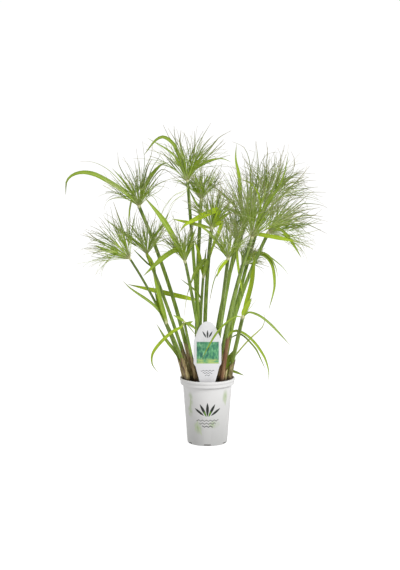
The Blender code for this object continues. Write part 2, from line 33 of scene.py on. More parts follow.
# Where each stem leaves its crown, where its head sits, how far it bows at half height,
# its thickness at foot and top and its tuft.
# tuft: heading and pitch of its middle, half angle, reach, fullness. Heading 0 is +X, 90 is away
# from the front.
shoots = {
    "01": {"crown": "left", "foot": (-27, 9), "hub": (-134, 60, 460), "bow": (10, 0),
           "girth": (8, 6.4), "sheath": 52, "tuft": (180, 80, 52, 98, 1), "shade": 0.3},
    "02": {"crown": "left", "foot": (-9, 9), "hub": (-39, 20, 514), "bow": (0, 0),
           "girth": (7, 5.6), "sheath": 30, "tuft": (90, 88, 46, 116, 1), "shade": 0.15},
    "03": {"crown": "left", "foot": (-44, -6), "hub": (-148, -60, 372), "bow": (12, 0),
           "girth": (5.5, 4.2), "sheath": 34, "tuft": (182, 46, 46, 108, 1), "shade": 0.2},
    "04": {"crown": "left", "foot": (-31, -11), "hub": (-117, -10, 374), "bow": (4, 0),
           "girth": (7, 5.6), "sheath": 46, "tuft": (180, 86, 46, 92, 1), "shade": 0.6},
    "05": {"crown": "left", "foot": (-37, -21), "hub": (-79, -50, 247), "bow": (4, 0),
           "girth": (7, 5.4), "sheath": 30, "shade": 0.6},
    "06": {"crown": "left", "foot": (-4, -17), "hub": (-43, -72, 368), "bow": (2, 10),
           "girth": (7, 5.6), "sheath": 26, "tuft": (150, 80, 36, 86, 0.9), "shade": 0.35},
    "07": {"crown": "left", "foot": (-4, -4), "hub": (8, -60, 431), "bow": (-5, 10),
           "girth": (8, 6.4), "sheath": 30, "tuft": (90, 88, 42, 96, 1.1), "shade": 0.35},
    "08": {"crown": "left", "foot": (-20, 26), "hub": (-12, 100, 469), "bow": (-4, 0),
           "girth": (8, 6.4), "sheath": 34, "tuft": (90, 84, 46, 84, 1.3), "shade": 0.4},
    "09": {"crown": "right", "foot": (12, -11), "hub": (39, -88, 376), "bow": (0, 8),
           "girth": (8, 6.4), "sheath": 26, "tuft": (-60, 82, 42, 92, 1.1), "shade": 0.4},
    "10": {"crown": "right", "foot": (11, 8), "hub": (57, 30, 396), "bow": (-3, 0),
           "girth": (8, 6.4), "sheath": 28, "tuft": (90, 86, 40, 96, 1.1), "shade": 0.5},
    "11": {"crown": "right", "foot": (11, 23), "hub": (78, 120, 419), "bow": (-12, 0),
           "girth": (9, 7.4), "sheath": 30, "tuft": (80, 80, 44, 140, 1.3), "shade": 0.3},
    "12": {"crown": "right", "foot": (21, -11), "hub": (85, -30, 409), "bow": (-8, 0),
           "girth": (8.5, 7), "sheath": 34, "tuft": (0, 76, 46, 128, 1.6), "shade": 0.5},
    "13": {"crown": "right", "foot": (27, 11), "hub": (119, 35, 411), "bow": (-13, 0),
           "girth": (8, 6.4), "sheath": 38, "tuft": (8, 30, 50, 120, 1.4), "shade": 0.35},
    "14": {"crown": "right", "foot": (22, 21), "hub": (68, 76, 339), "bow": (0, 0),
           "girth": (6, 5), "sheath": 30, "tuft": (20, 56, 40, 66, 1.2), "shade": 0.5},
    "15": {"crown": "right", "foot": (41, -14), "hub": (68, -60, 259), "bow": (0, 0),
           "girth": (8.5, 7), "sheath": 26, "shade": 0.6},
    "16": {"crown": "left", "foot": (-21, -23), "hub": (-45, -55, 249), "bow": (0, 0),
           "girth": (6, 4.6), "sheath": 34, "shade": 0.4},
    "17": {"crown": "left", "foot": (-15, -8), "hub": (-8, -44, 335), "bow": (-2, 5),
           "girth": (6, 4.8), "sheath": 22, "shade": 0.4},
    "18": {"crown": "left", "foot": (-16, 15), "hub": (-16, 38, 275), "bow": (0, 0),
           "girth": (6, 4.6), "sheath": 24, "shade": 0.4},
    "19": {"crown": "right", "foot": (32, 26), "hub": (118, 140, 455), "bow": (-8, 0),
           "girth": (8, 6.4), "sheath": 30, "tuft": (20, 66, 48, 130, 1.6), "shade": 0.3},
}


# Leaves of each head as the front shows them: width, tint from 0, deep green, to 1, lime,
# how far the tip leans back, and places across and up on the way from the head to the tip.
drawnLeaves = {
    "01": [
        (9.5, 0.45, -25, [(-158, 485), (-177, 499), (-214, 521), (-232, 527), (-247, 528), (-262, 524),
         (-272, 516), (-275, 511), (-277, 485)]),
        (8.5, 0.5, -15, [(-126, 489), (-111, 519), (-92, 542), (-84, 546), (-75, 548)]),
        (6.5, 0.95, 20, [(-140, 469), (-146, 474), (-149, 470), (-157, 424)]),
        (5.5, 0.25, 10, [(-162, 505), (-188, 535)]),
    ],
    "02": [
        (6.5, 0.3, -8, [(-59, 574), (-66, 586), (-74, 594), (-82, 599), (-89, 600), (-97, 596),
         (-104, 590), (-123, 565)]),
        (4.2, 0.5, -10, [(-29, 530), (-20, 540), (1, 553), (22, 558), (33, 557), (47, 551)]),
        (7, 0.6, -12, [(-33, 530), (-2, 573)]),
        (4.6, 0.35, 10, [(-24, 568)]),
        (3.8, 0.3, -25, [(-48, 535), (-68, 568), (-115, 599)]),
        (6.5, 0.65, 5, [(-59, 574)]),
    ],
    "03": [
        (7, 0.5, -10, [(-158, 377), (-179, 383), (-217, 401)]),
    ],
    "04": [
        (5, 0.25, -15, [(-128, 391), (-165, 418), (-199, 447)]),
        (4.6, 0.35, 5, [(-106, 404), (-89, 428), (-74, 457)]),
    ],
    "05": [
        (10.5, 0.45, 0, [(-89, 278), (-105, 345)]),
        (8.5, 0.95, 5, [(-95, 282), (-102, 307)]),
        (5, 0.35, -8, [(-87, 262), (-106, 284), (-148, 315), (-162, 329)]),
    ],
    "06": [
        (10, 0.45, -10, [(-68, 421), (-89, 455), (-120, 494)]),
        (9, 0.5, -12, [(-53, 388), (-58, 391), (-66, 389), (-88, 374), (-122, 343)]),
        (7.5, 0.6, 5, [(-23, 432)]),
    ],
    "07": [
        (10, 1, -20, [(20, 466), (12, 466), (-39, 442), (-47, 435), (-53, 426)]),
        (7, 0.6, -5, [(28, 451), (49, 465)]),
        (8.5, 0.9, -25, [(21, 441), (28, 442), (10, 396), (5, 377)]),
        (6.5, 0.9, 12, [(-69, 448)]),
    ],
    "08": [
        (8, 0.35, -10, [(-16, 454), (-31, 478), (-38, 496)]),
        (8, 0.95, -4, [(-25, 522)]),
        (5.5, 0.7, 6, [(-5, 502), (3, 521)]),
        (5.5, 0.5, 3, [(-37, 507)]),
    ],
    "09": [
        (5.5, 0.55, 10, [(3, 425), (-23, 442)]),
        (6, 0.9, -12, [(24, 358), (17, 342)]),
        (6.5, 0.6, -8, [(52, 402)]),
    ],
    "10": [
        (5.5, 0.8, -5, [(52, 447)]),
        (5.5, 0.9, -10, [(74, 428)]),
        (5.5, 0.8, -12, [(58, 361), (66, 307), (71, 288)]),
    ],
    "11": [
        (5.5, 0.7, -15, [(62, 440), (54, 445), (26, 454)]),
        (7.5, 0.6, -15, [(66, 464), (62, 520), (57, 543), (56, 557), (58, 580)]),
    ],
    "12": [
        (7.5, 0.8, -15, [(92, 415), (99, 416), (175, 403)]),
        (5.5, 0.6, 10, [(94, 418), (110, 427)]),
        (3.8, 0.4, 15, [(113, 468), (143, 519), (156, 573)]),
        (4, 0.6, 5, [(97, 440), (102, 466), (99, 490), (93, 503), (85, 512), (76, 518), (65, 520)]),
    ],
    "13": [
        (5.5, 0.7, -15, [(131, 417), (142, 418), (150, 413), (166, 393), (184, 363)]),
    ],
    "14": [
        (6.5, 0.7, 15, [(81, 356), (96, 363), (111, 361), (122, 352), (130, 336), (134, 301),
         (131, 280), (123, 248)]),
        (4.2, 0.6, 8, [(81, 358), (98, 366), (111, 365), (122, 359), (130, 348), (136, 336), (141, 315)]),
        (4.2, 0.4, 20, [(82, 357), (98, 366), (113, 363), (148, 337), (164, 317)]),
    ],
    "15": [
        (11, 0.95, -2, [(83, 313), (88, 340), (90, 370), (87, 390)]),
        (8.5, 0.8, -8, [(71, 273), (84, 298)]),
        (4.6, 0.3, -10, [(76, 267), (82, 269), (102, 261), (123, 244), (158, 207)]),
        (3.6, 0.4, -30, [(54, 261), (30, 245), (19, 233), (8, 217), (-12, 182)]),
    ],
    "16": [
        (7, 0.85, -5, [(-49, 240), (-65, 231), (-87, 212), (-104, 190), (-107, 177), (-105, 165),
         (-95, 151)]),
        (5.5, 0.5, 4, [(-40, 246), (-28, 250)]),
        (5, 0.5, -8, [(-51, 255), (-66, 264)]),
        (4.6, 0.4, -8, [(-28, 241), (-21, 233)]),
    ],
    "17": [
        (6.5, 0.9, 5, [(-17, 379), (-26, 409)]),
        (8.5, 0.45, -8, [(-3, 368), (-10, 364), (-18, 353), (-26, 341), (-34, 318)]),
        (4, 0.3, 8, [(-2, 392)]),
    ],
    "18": [
        (9, 1, 15, [(-157, 306)]),
    ],
    "19": [
        (5, 0.4, 10, [(155, 502), (160, 516)]),
    ],
}

# The longest rays of each head in the same way: width, 1 for a faint one, lean, places
drawnRays = {
    "01": [
        (2, 0, -15, [(-139, 504), (-137, 524)]),
        (1.8, 0, 20, [(-143, 488), (-173, 538), (-177, 565)]),
        (1.2, 0, 10, [(-141, 507), (-165, 557)]),
        (1.2, 0, -20, [(-132, 492), (-133, 529), (-139, 576)]),
        (1.6, 0, 25, [(-124, 528), (-112, 556), (-109, 569), (-108, 584)]),
        (3.4, 0, 0, [(-124, 513), (-116, 541), (-109, 552)]),
        (1.6, 0, -25, [(-109, 535), (-93, 561), (-90, 573)]),
        (1.8, 0, 10, [(-117, 497), (-105, 518), (-94, 530), (-88, 533), (-77, 529), (-63, 515)]),
        (1.2, 0, -20, [(-118, 491), (-96, 520), (-82, 529), (-73, 531)]),
        (1.1, 1, -30, [(-116, 479), (-94, 493), (-86, 502), (-81, 513)]),
        (1.1, 1, -25, [(-116, 482), (-108, 482), (-101, 474), (-93, 453)]),
        (0.9, 1, -30, [(-147, 474), (-173, 481), (-184, 479), (-194, 474), (-200, 465), (-202, 456)]),
        (0.9, 1, 30, [(-151, 474), (-170, 482), (-197, 486)]),
        (1.1, 0, 30, [(-130, 491), (-130, 510), (-124, 543), (-128, 586)]),
        (1.3, 1, -10, [(-147, 483), (-188, 528), (-208, 542), (-223, 548), (-236, 550), (-249, 549)]),
    ],
    "02": [
        (1.8, 0, 20, [(-53, 573), (-77, 616)]),
        (1.4, 0, 5, [(-56, 601), (-60, 615)]),
        (2.6, 0, -12, [(-44, 556), (-52, 585), (-53, 596), (-51, 614)]),
        (1.2, 0, 25, [(-33, 573), (-41, 598), (-49, 608)]),
        (2.2, 0, -5, [(-32, 538), (-25, 582), (-25, 612)]),
        (1.6, 0, -22, [(-20, 577), (-14, 593), (7, 629)]),
        (2.8, 0, 15, [(-14, 571), (1, 592), (12, 602)]),
        (2, 0, -15, [(-24, 544), (12, 588), (23, 600), (46, 613)]),
        (1.8, 0, 28, [(-24, 539), (-11, 552), (34, 585)]),
        (1, 1, 10, [(-21, 542), (4, 565), (16, 575), (37, 574)]),
        (1, 1, -28, [(-24, 536), (15, 569), (40, 570)]),
        (1.8, 0, -18, [(-58, 541), (-85, 570)]),
        (1.6, 0, 25, [(-49, 522), (-83, 560)]),
        (1, 1, 12, [(-48, 520), (-63, 522)]),
        (0.9, 1, -20, [(-54, 516), (-62, 504)]),
        (0.9, 1, -25, [(-37, 503), (-45, 496), (-66, 486), (-91, 449)]),
        (0.9, 1, -28, [(-40, 496), (-68, 474), (-79, 449)]),
    ],
    "03": [
        (2.6, 0, 15, [(-167, 442), (-180, 480)]),
        (1.6, 0, 5, [(-168, 421), (-177, 436), (-185, 472)]),
        (1.4, 0, -15, [(-163, 398), (-200, 448), (-207, 455)]),
        (1.6, 0, 20, [(-165, 393), (-180, 405), (-206, 425), (-226, 434)]),
        (2.4, 0, -5, [(-168, 388), (-187, 399), (-217, 414), (-228, 425)]),
        (1.6, 0, 25, [(-222, 410), (-245, 416)]),
        (1.6, 0, -20, [(-190, 388), (-217, 400), (-229, 402)]),
        (1.2, 0, 12, [(-211, 391), (-228, 392), (-240, 390)]),
        (1.4, 0, -12, [(-190, 380), (-201, 379)]),
        (1, 1, 22, [(-195, 385), (-239, 378)]),
        (0.9, 1, -22, [(-172, 380), (-182, 379), (-195, 367)]),
        (1.4, 0, 10, [(-143, 437), (-132, 475)]),
        (1.2, 0, -8, [(-163, 424), (-172, 442), (-179, 451), (-197, 462)]),
    ],
    "04": [
        (1.2, 0, 15, [(-138, 438), (-132, 460)]),
        (1.6, 0, -12, [(-126, 395), (-146, 422), (-157, 443)]),
        (2.2, 0, 10, [(-130, 389), (-156, 410), (-167, 414)]),
        (1.4, 0, -15, [(-109, 395), (-102, 408), (-72, 450)]),
        (1, 1, -20, [(-96, 418), (-87, 459), (-76, 478), (-63, 491), (-44, 497)]),
        (1, 1, -10, [(-98, 414), (-85, 429), (-72, 462), (-59, 483), (-43, 490)]),
        (2.2, 0, 5, [(-106, 435), (-100, 446)]),
        (1, 1, 20, [(-93, 403), (-80, 409), (-67, 407)]),
        (1.6, 0, -5, [(-124, 432), (-128, 446)]),
        (0.9, 1, -20, [(-104, 392), (-94, 409), (-85, 410), (-76, 406)]),
    ],
    "05": [
        (1, 1, 5, [(-95, 293), (-111, 332)]),
    ],
    "06": [
        (1.4, 0, 10, [(-46, 393), (-57, 424), (-66, 458)]),
        (1.4, 0, -10, [(-42, 416), (-46, 448)]),
        (1.2, 0, 15, [(-55, 387), (-66, 398), (-88, 412), (-99, 415)]),
        (1, 1, -15, [(-57, 385), (-70, 394), (-80, 407), (-91, 415), (-98, 410), (-106, 408)]),
        (2.2, 0, -5, [(-35, 414), (-26, 443)]),
        (1.4, 0, 12, [(-15, 429)]),
        (1.2, 0, 20, [(-64, 410), (-75, 423), (-97, 429)]),
        (0.9, 1, -20, [(-58, 441), (-69, 467), (-55, 463)]),
    ],
    "07": [
        (1.6, 0, -10, [(11, 468), (10, 484), (14, 515)]),
        (2.2, 0, 5, [(19, 474), (25, 521)]),
        (1.6, 0, -15, [(26, 473), (34, 507), (39, 520)]),
        (1.2, 0, 12, [(1, 468), (-12, 492), (-19, 497)]),
        (1, 1, -12, [(-1, 451), (-12, 464), (-23, 472), (-32, 474)]),
        (1.4, 0, 15, [(6, 472), (-3, 500)]),
        (1.4, 0, 10, [(34, 465), (43, 481), (47, 495), (45, 510)]),
        (1, 1, -20, [(17, 483), (17, 501), (21, 520), (28, 533)]),
        (3.2, 0, 0, [(21, 505)]),
    ],
    "08": [
        (1.6, 0, 10, [(8, 508), (15, 528)]),
        (1.4, 0, -8, [(-5, 517), (-9, 537)]),
        (1.4, 0, 15, [(-1, 482), (23, 524), (29, 537), (29, 545)]),
        (1.2, 1, -12, [(14, 501), (22, 506), (28, 503)]),
        (1, 0, 12, [(-16, 486), (-12, 514), (-5, 526), (3, 534)]),
        (1, 1, -15, [(16, 528), (24, 538), (34, 542), (42, 537)]),
        (1, 0, 5, [(-26, 492), (-30, 505), (-27, 517), (-19, 528), (-11, 534)]),
    ],
    "09": [
        (1.6, 0, 8, [(28, 397), (12, 416)]),
        (1.6, 0, -8, [(26, 438)]),
        (1.6, 0, 12, [(37, 422), (30, 458)]),
        (1.6, 0, -12, [(46, 442)]),
        (1.4, 0, 6, [(52, 415)]),
        (1.4, 0, -6, [(25, 392), (6, 405)]),
        (1.4, 1, -10, [(30, 373), (22, 364), (16, 354), (12, 340)]),
        (1.8, 0, -15, [(22, 354), (12, 336), (3, 293)]),
    ],
    "10": [
        (1.4, 0, 8, [(54, 418), (48, 436), (35, 468)]),
        (1.4, 0, -8, [(58, 422), (54, 466)]),
        (1.6, 0, 12, [(67, 443), (67, 482)]),
        (1.4, 0, -12, [(31, 432)]),
        (1.4, 0, 4, [(50, 421), (37, 493)]),
    ],
    "11": [
        (1.8, 0, 20, [(81, 463), (87, 504), (85, 541), (76, 568), (66, 576), (50, 582)]),
        (2.2, 0, -10, [(101, 523), (97, 585)]),
        (1.4, 0, -20, [(100, 492), (104, 529), (107, 543), (114, 555), (122, 562), (140, 564)]),
        (1.8, 0, 10, [(91, 453), (110, 491), (119, 526), (118, 541), (121, 554), (118, 583)]),
        (1.6, 0, 25, [(83, 450), (89, 477), (91, 504), (90, 521), (77, 545), (70, 552)]),
        (1.4, 0, -15, [(74, 465), (57, 506)]),
    ],
    "12": [
        (1.8, 0, 5, [(109, 466), (120, 486), (146, 516), (158, 526), (164, 538), (166, 551), (165, 565),
         (160, 575)]),
        (2.2, 0, -20, [(117, 464), (170, 520), (194, 549)]),
        (1.4, 0, 15, [(100, 435), (126, 471), (139, 481), (165, 491)]),
        (1.4, 0, -10, [(102, 460), (129, 514), (138, 548)]),
        (1.6, 0, 10, [(90, 440), (99, 466), (118, 505), (120, 523), (114, 548)]),
        (1.8, 0, -15, [(97, 443), (115, 485), (124, 501), (130, 520), (140, 564), (133, 583)]),
        (1, 1, -5, [(119, 530), (123, 538), (134, 545), (145, 557), (152, 572), (154, 589)]),
        (1.8, 0, 8, [(82, 523), (80, 537), (75, 552), (68, 564), (65, 574)]),
        (1.6, 0, -22, [(83, 548), (87, 560), (89, 576), (77, 580)]),
        (1.2, 0, -28, [(88, 516), (81, 523), (72, 531), (62, 539)]),
        (2.4, 0, 12, [(92, 503), (86, 509), (77, 516), (66, 519)]),
    ],
    "13": [
        (2, 0, -12, [(134, 421), (150, 426), (181, 430), (197, 428), (233, 411)]),
        (2.4, 0, 5, [(139, 424), (182, 444), (206, 445), (226, 442)]),
        (2, 0, -20, [(157, 443), (181, 455), (219, 463)]),
        (2.2, 0, 10, [(136, 432), (202, 489)]),
        (1.8, 0, -5, [(142, 435), (173, 461), (187, 469), (211, 468), (223, 466), (235, 460)]),
        (1.8, 0, 18, [(142, 432), (180, 459), (193, 471), (196, 478)]),
        (1.4, 0, 20, [(142, 427), (164, 434), (182, 438), (199, 440), (237, 431)]),
        (1.3, 1, -25, [(139, 440), (149, 450), (158, 443), (165, 434), (187, 391)]),
        (1.2, 0, 12, [(163, 426), (180, 425), (193, 412), (212, 403)]),
        (1.6, 0, -15, [(141, 457), (153, 470), (167, 479), (181, 483), (188, 489)]),
        (1.2, 0, 15, [(166, 445), (182, 450), (207, 444), (225, 456)]),
    ],
    "15": [
        (0.9, 1, 5, [(94, 293)]),
        (1, 1, 5, [(77, 273), (87, 298)]),
    ],
    "16": [
        (1.8, 1, -4, [(-35, 240), (-21, 222)]),
    ],
    "17": [
        (1.6, 1, -10, [(-6, 350), (-10, 360), (-18, 352), (-32, 323), (-40, 297), (-46, 254)]),
    ],
    "19": [
        (2, 0, 10, [(132, 475), (176, 516), (196, 522)]),
        (1.2, 0, -25, [(145, 510), (153, 500), (163, 490)]),
        (1.4, 0, 25, [(135, 475), (181, 515), (220, 515)]),
        (1.6, 0, 0, [(157, 491), (171, 500), (221, 505)]),
        (1.6, 0, -15, [(138, 472), (157, 485), (170, 489), (196, 489), (216, 482)]),
        (1.4, 0, 20, [(133, 475), (160, 502), (171, 508), (182, 509), (191, 506), (196, 499),
         (199, 489)]),
        (1.8, 0, -10, [(119, 476), (124, 507), (122, 529)]),
        (1.6, 0, 12, [(115, 489), (119, 514)]),
        (1.4, 0, -20, [(132, 477), (143, 490), (159, 518), (174, 532), (173, 553)]),
    ],
}


# Small helpers that every piece uses

def paint(red, green, blue):
    # a colour as read on a screen, 0 to 255, made linear
    def line(value):
        share = value / 255
        return share / 12.92 if share <= 0.04045 else ((share + 0.055) / 1.055) ** 2.4
    return (line(red), line(green), line(blue), 1.0)


def meshPiece(name, bm, material, smoothAngle=40):
    bmesh.ops.recalc_face_normals(bm, faces=bm.faces)
    mesh = bpy.data.meshes.new(name)
    bm.to_mesh(mesh)
    bm.free()
    mesh.materials.append(material)
    mesh.shade_smooth()
    mesh.set_sharp_from_angle(angle=math.radians(smoothAngle))
    piece = bpy.data.objects.new(name, mesh)
    bpy.context.scene.collection.objects.link(piece)
    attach(piece, "root")
    return piece


def markLayers(bm):
    # along runs from foot to tip, across from edge to edge, tint is the same over a leaf
    return {name: bm.verts.layers.float.new(name) for name in ("along", "across", "tint")}


blanks = {}


def rodBlank(corners, rings):
    # a straight closed rod, made once for each number of corners and rings
    if (corners, rings) not in blanks:
        bm = bmesh.new()
        bmesh.ops.create_circle(bm, cap_ends=True, segments=corners, radius=1)
        seed = bmesh.ops.create_circle(bm, cap_ends=True, segments=corners, radius=1)
        face = seed["verts"][0].link_faces[0]
        for number in range(1, rings):
            face = bmesh.ops.extrude_discrete_faces(bm, faces=[face])["faces"][0]
            bmesh.ops.translate(bm, vec=(0, 0, 1), verts=face.verts)
        bmesh.ops.remove_doubles(bm, verts=bm.verts, dist=0.001)
        bmesh.ops.recalc_face_normals(bm, faces=bm.faces)
        mesh = bpy.data.meshes.new("rodBlank")
        bm.to_mesh(mesh)
        bm.free()
        order = []
        for vert in mesh.vertices:
            turn = math.atan2(-vert.co.x, vert.co.y) / math.tau * corners
            order.append((round(vert.co.z), round(turn) % corners))
        blanks[corners, rings] = (mesh, order)
    return blanks[corners, rings]


def sweep(bm, marks, route, outline, sizes, side, tint=0.0, alongs=None, twist=0.0):
    # lays a rod blank along a route, with the outline at every point of it
    count = len(route)
    frames = []
    heading = (route[1] - route[0]).normalized()
    side = (side - heading * side.dot(heading)).normalized()
    for step in range(count):
        ahead = (route[min(step + 1, count - 1)] - route[max(step - 1, 0)]).normalized()
        side = heading.rotation_difference(ahead) @ side
        if twist:
            side = Quaternion(ahead, twist / count) @ side
        heading = ahead
        frames.append((side.copy(), heading.cross(side)))
    blank, order = rodBlank(len(outline), count)
    first = len(bm.verts)
    bm.from_mesh(blank)
    bm.verts.ensure_lookup_table()
    rings = [[None] * len(outline) for _ in range(count)]
    for vert, (ring, corner) in zip(bm.verts[first:], order):
        x, y = outline[corner]
        side, up = frames[ring]
        vert.co = route[ring] + (side * x + up * y) * sizes[ring]
        vert[marks["along"]] = alongs[ring] if alongs else ring / (count - 1)
        vert[marks["across"]] = max(-1.0, min(1.0, x * 2))
        vert[marks["tint"]] = tint
        rings[ring][corner] = vert
    return rings


def joinTo(bm, part):
    # puts a form made on its own into the piece it belongs to
    mesh = bpy.data.meshes.new("part")
    part.to_mesh(mesh)
    part.free()
    bm.from_mesh(mesh)
    bpy.data.meshes.remove(mesh)


def stemPoint(shoot, share):
    foot = Vector((*shoot["foot"], stemLook["root"]))
    bow = Vector((*shoot["bow"], 0)) * 4 * share * (1 - share)
    return (foot.lerp(Vector(shoot["hub"]), share) + bow) * mm


def stemDirection(shoot, share):
    return (stemPoint(shoot, share + 0.02) - stemPoint(shoot, share - 0.02)).normalized()


def drawnRoute(start, lean, places, steps):
    # a smooth line from start through places given across and up, in even steps
    corners = [start.copy()] + [Vector((x * mm, start.y, z * mm)) for x, z in places]
    runs = [0.0]
    for near, far in zip(corners, corners[1:]):
        runs.append(runs[-1] + (far - near).length)
    for corner, run in zip(corners, runs):
        corner.y += lean * mm * run / runs[-1]
    return evenSteps(smoothLine(corners, 10), steps)


def smoothLine(corners, parts=4):
    fine = []
    for number in range(len(corners) - 1):
        near, far = corners[number], corners[number + 1]
        before = corners[max(number - 1, 0)]
        after = corners[min(number + 2, len(corners) - 1)]
        reach = (far - near).length / 3
        fine += interpolate_bezier(near, near + (far - before).normalized() * reach,
                                   far - (after - near).normalized() * reach, far, parts)[:-1]
    return fine + [corners[-1]]


def evenSteps(line, steps):
    runs = [0.0]
    for near, far in zip(line, line[1:]):
        runs.append(runs[-1] + (far - near).length)
    route = []
    spot = 0
    for number in range(steps + 1):
        goal = runs[-1] * number / steps
        while spot < len(line) - 2 and runs[spot + 1] < goal:
            spot += 1
        share = (goal - runs[spot]) / max(runs[spot + 1] - runs[spot], 1e-9)
        route.append(line[spot].lerp(line[spot + 1], share))
    return route


def levelDirection(heading, pitch=0.0):
    turn = math.radians(heading)
    climb = math.radians(pitch)
    return Vector((math.cos(turn) * math.cos(climb), math.sin(turn) * math.cos(climb),
                   math.sin(climb)))


# Node helpers

def startMaterial(name):
    material = bpy.data.materials.new(name)
    material.use_nodes = True
    return material, material.node_tree, material.node_tree.nodes["Principled BSDF"]


def addNode(tree, kind, values=None, **settings):
    node = tree.nodes.new(kind)
    for key, value in settings.items():
        setattr(node, key, value)
    for key, value in (values or {}).items():
        if isinstance(value, bpy.types.NodeSocket):
            tree.links.new(value, node.inputs[key])
        else:
            node.inputs[key].default_value = value
    return node


def sums(tree, operation, first, second=0.0, third=0.0, clamp=False):
    node = addNode(tree, "ShaderNodeMath", {0: first, 1: second, 2: third}, operation=operation,
                   use_clamp=clamp)
    return node.outputs[0]


def blendColours(tree, share, first, second, mode="MIX"):
    node = addNode(tree, "ShaderNodeMix", {0: share, 6: first, 7: second}, data_type="RGBA",
                   blend_type=mode)
    return node.outputs[2]


def rampColours(tree, share, stops):
    node = addNode(tree, "ShaderNodeValToRGB", {0: share})
    elements = node.color_ramp.elements
    while len(elements) < len(stops):
        elements.new(0.5)
    for element, (place, colour) in zip(elements, stops):
        element.position = place
        element.color = colour
    return node.outputs[0]


def spread(tree, value, low, high, first=0.0, second=1.0):
    node = addNode(tree, "ShaderNodeMapRange", {0: value, 1: low, 2: high, 3: first, 4: second})
    return node.outputs[0]


def mark(tree, name):
    return addNode(tree, "ShaderNodeAttribute", attribute_name=name).outputs["Fac"]


def objectPlace(tree, scale=(1, 1, 1)):
    place = addNode(tree, "ShaderNodeTexCoord").outputs["Object"]
    return addNode(tree, "ShaderNodeMapping", {"Vector": place, "Scale": scale}).outputs[0]


def speckle(tree, scale, detail=3.0, stretch=(1, 1, 1), roughness=0.5):
    values = {"Vector": objectPlace(tree, stretch), "Scale": scale, "Detail": detail,
              "Roughness": roughness}
    return addNode(tree, "ShaderNodeTexNoise", values).outputs["Fac"]


def addBump(tree, shader, height, strength, distance):
    bump = addNode(tree, "ShaderNodeBump", {"Height": height, "Strength": strength,
                                            "Distance": distance})
    tree.links.new(bump.outputs[0], shader.inputs["Normal"])


# Camera, floor and light

camera = {"place": (-0.0145, -3.42, 0.83), "tilt": 81.4, "lens": 112.1}
studio = {"sky": 0.52, "backdrop": 1.02, "key": 60.0, "keyPlace": (1.9, -1.9, 2.1),
          "keySize": 0.9, "fill": 6.0, "fillPlace": (-2.2, -1.6, 1.2), "fillSize": 1.2,
          "floor": 60.0, "floorGlow": 0.78}


def makeCamera():
    data = bpy.data.cameras.new("camera")
    data.lens = camera["lens"]
    data.clip_end = 200
    view = bpy.data.objects.new("camera", data)
    view.location = camera["place"]
    view.rotation_euler = (math.radians(camera["tilt"]), 0, 0)
    bpy.context.scene.collection.objects.link(view)
    bpy.context.scene.camera = view


def makeLight(name, place, size, power):
    data = bpy.data.lights.new(name, "AREA")
    data.size = size
    data.energy = power
    lamp = bpy.data.objects.new(name, data)
    lamp.location = place
    aim = Vector((0, 0, 0.3)) - Vector(place)
    lamp.rotation_euler = aim.to_track_quat("-Z", "Y").to_euler()
    bpy.context.scene.collection.objects.link(lamp)


def makeStudio():
    world = bpy.data.worlds.new("studio")
    world.use_nodes = True
    tree = world.node_tree
    sky = tree.nodes["Background"]
    sky.inputs["Color"].default_value = (1, 1, 1, 1)
    seen = addNode(tree, "ShaderNodeLightPath").outputs["Is Camera Ray"]
    tree.links.new(spread(tree, seen, 0, 1, studio["sky"], studio["backdrop"]),
                   sky.inputs["Strength"])
    bpy.context.scene.world = world
    bpy.context.scene.view_settings.view_transform = "Standard"
    makeLight("keyLight", studio["keyPlace"], studio["keySize"], studio["key"])
    makeLight("fillLight", studio["fillPlace"], studio["fillSize"], studio["fill"])

    material, tree, shader = startMaterial("floorWhite")
    shader.inputs["Base Color"].default_value = (0.5, 0.5, 0.5, 1)
    shader.inputs["Roughness"].default_value = 0.9
    shader.inputs["Emission Color"].default_value = (1, 1, 1, 1)
    shader.inputs["Emission Strength"].default_value = studio["floorGlow"]
    bm = bmesh.new()
    bmesh.ops.create_grid(bm, x_segments=1, y_segments=1, size=studio["floor"] / 2)
    mesh = bpy.data.meshes.new("floor")
    bm.to_mesh(mesh)
    bm.free()
    mesh.materials.append(material)
    floor = bpy.data.objects.new("floor", mesh)
    floor.location = (0, 0, -0.0002)
    floor.visible_diffuse = False
    bpy.context.scene.collection.objects.link(floor)


# Pot

potLook = {
    "height": 130, "rim": 54, "band": 13, "bodyTop": 48, "foot": 39, "wall": 1.2,
    "floor": 1.3, "lip": 1.6, "steps": 128, "slots": 6, "slotSize": (13, 2.1), "slotRise": 1.4,
    # low is a painted shade: the lower body is mixed towards it, darker towards the foot
    "plastic": paint(242, 241, 240), "shadow": paint(224, 224, 222), "low": paint(206, 206, 204),
    "dark": paint(40, 44, 40), "grey": paint(128, 130, 126), "leaf": paint(180, 198, 152),
    "paleLeaf": paint(203, 214, 184), "fresh": paint(104, 146, 60),
}


def potRadius(height):
    step = potLook["height"] - potLook["band"]
    return potLook["foot"] + (potLook["bodyTop"] - potLook["foot"]) * height / step


# each printed leaf: across from the front line, height, half length, half width, tilt
printedLeaves = {
    "dark": [(0, 74, 14, 2.7, 90), (-8.5, 73, 13.5, 2.6, 118), (8.5, 73, 13.5, 2.6, 62),
             (-16.5, 69, 12, 2.3, 143), (16.5, 69, 12, 2.3, 37)],
    "fresh": [(-4.6, 65.5, 6.5, 1.8, 112), (4.6, 65.5, 6.5, 1.8, 68)],
    "paleLeaf": [(-24, 40, 13, 1.8, 70), (-16, 32, 12, 1.8, 110), (37, 92, 14, 1.9, 100),
                 (-36, 84, 15, 1.9, 84)],
}
# soft washes: across, height, half width, half height
printedWashes = [(-20, 37, 12, 15), (-35, 92, 8, 17), (-38, 68, 8, 14), (37, 96, 8, 18), (14, 44, 14, 9)]
# water lines under the fan of leaves: across, height, half length, half height, tone
printedWaves = [(0, 52, 23, 0.9, "grey"), (0, 46, 17, 0.9, "grey"), (0, 40, 11, 0.8, "dark")]


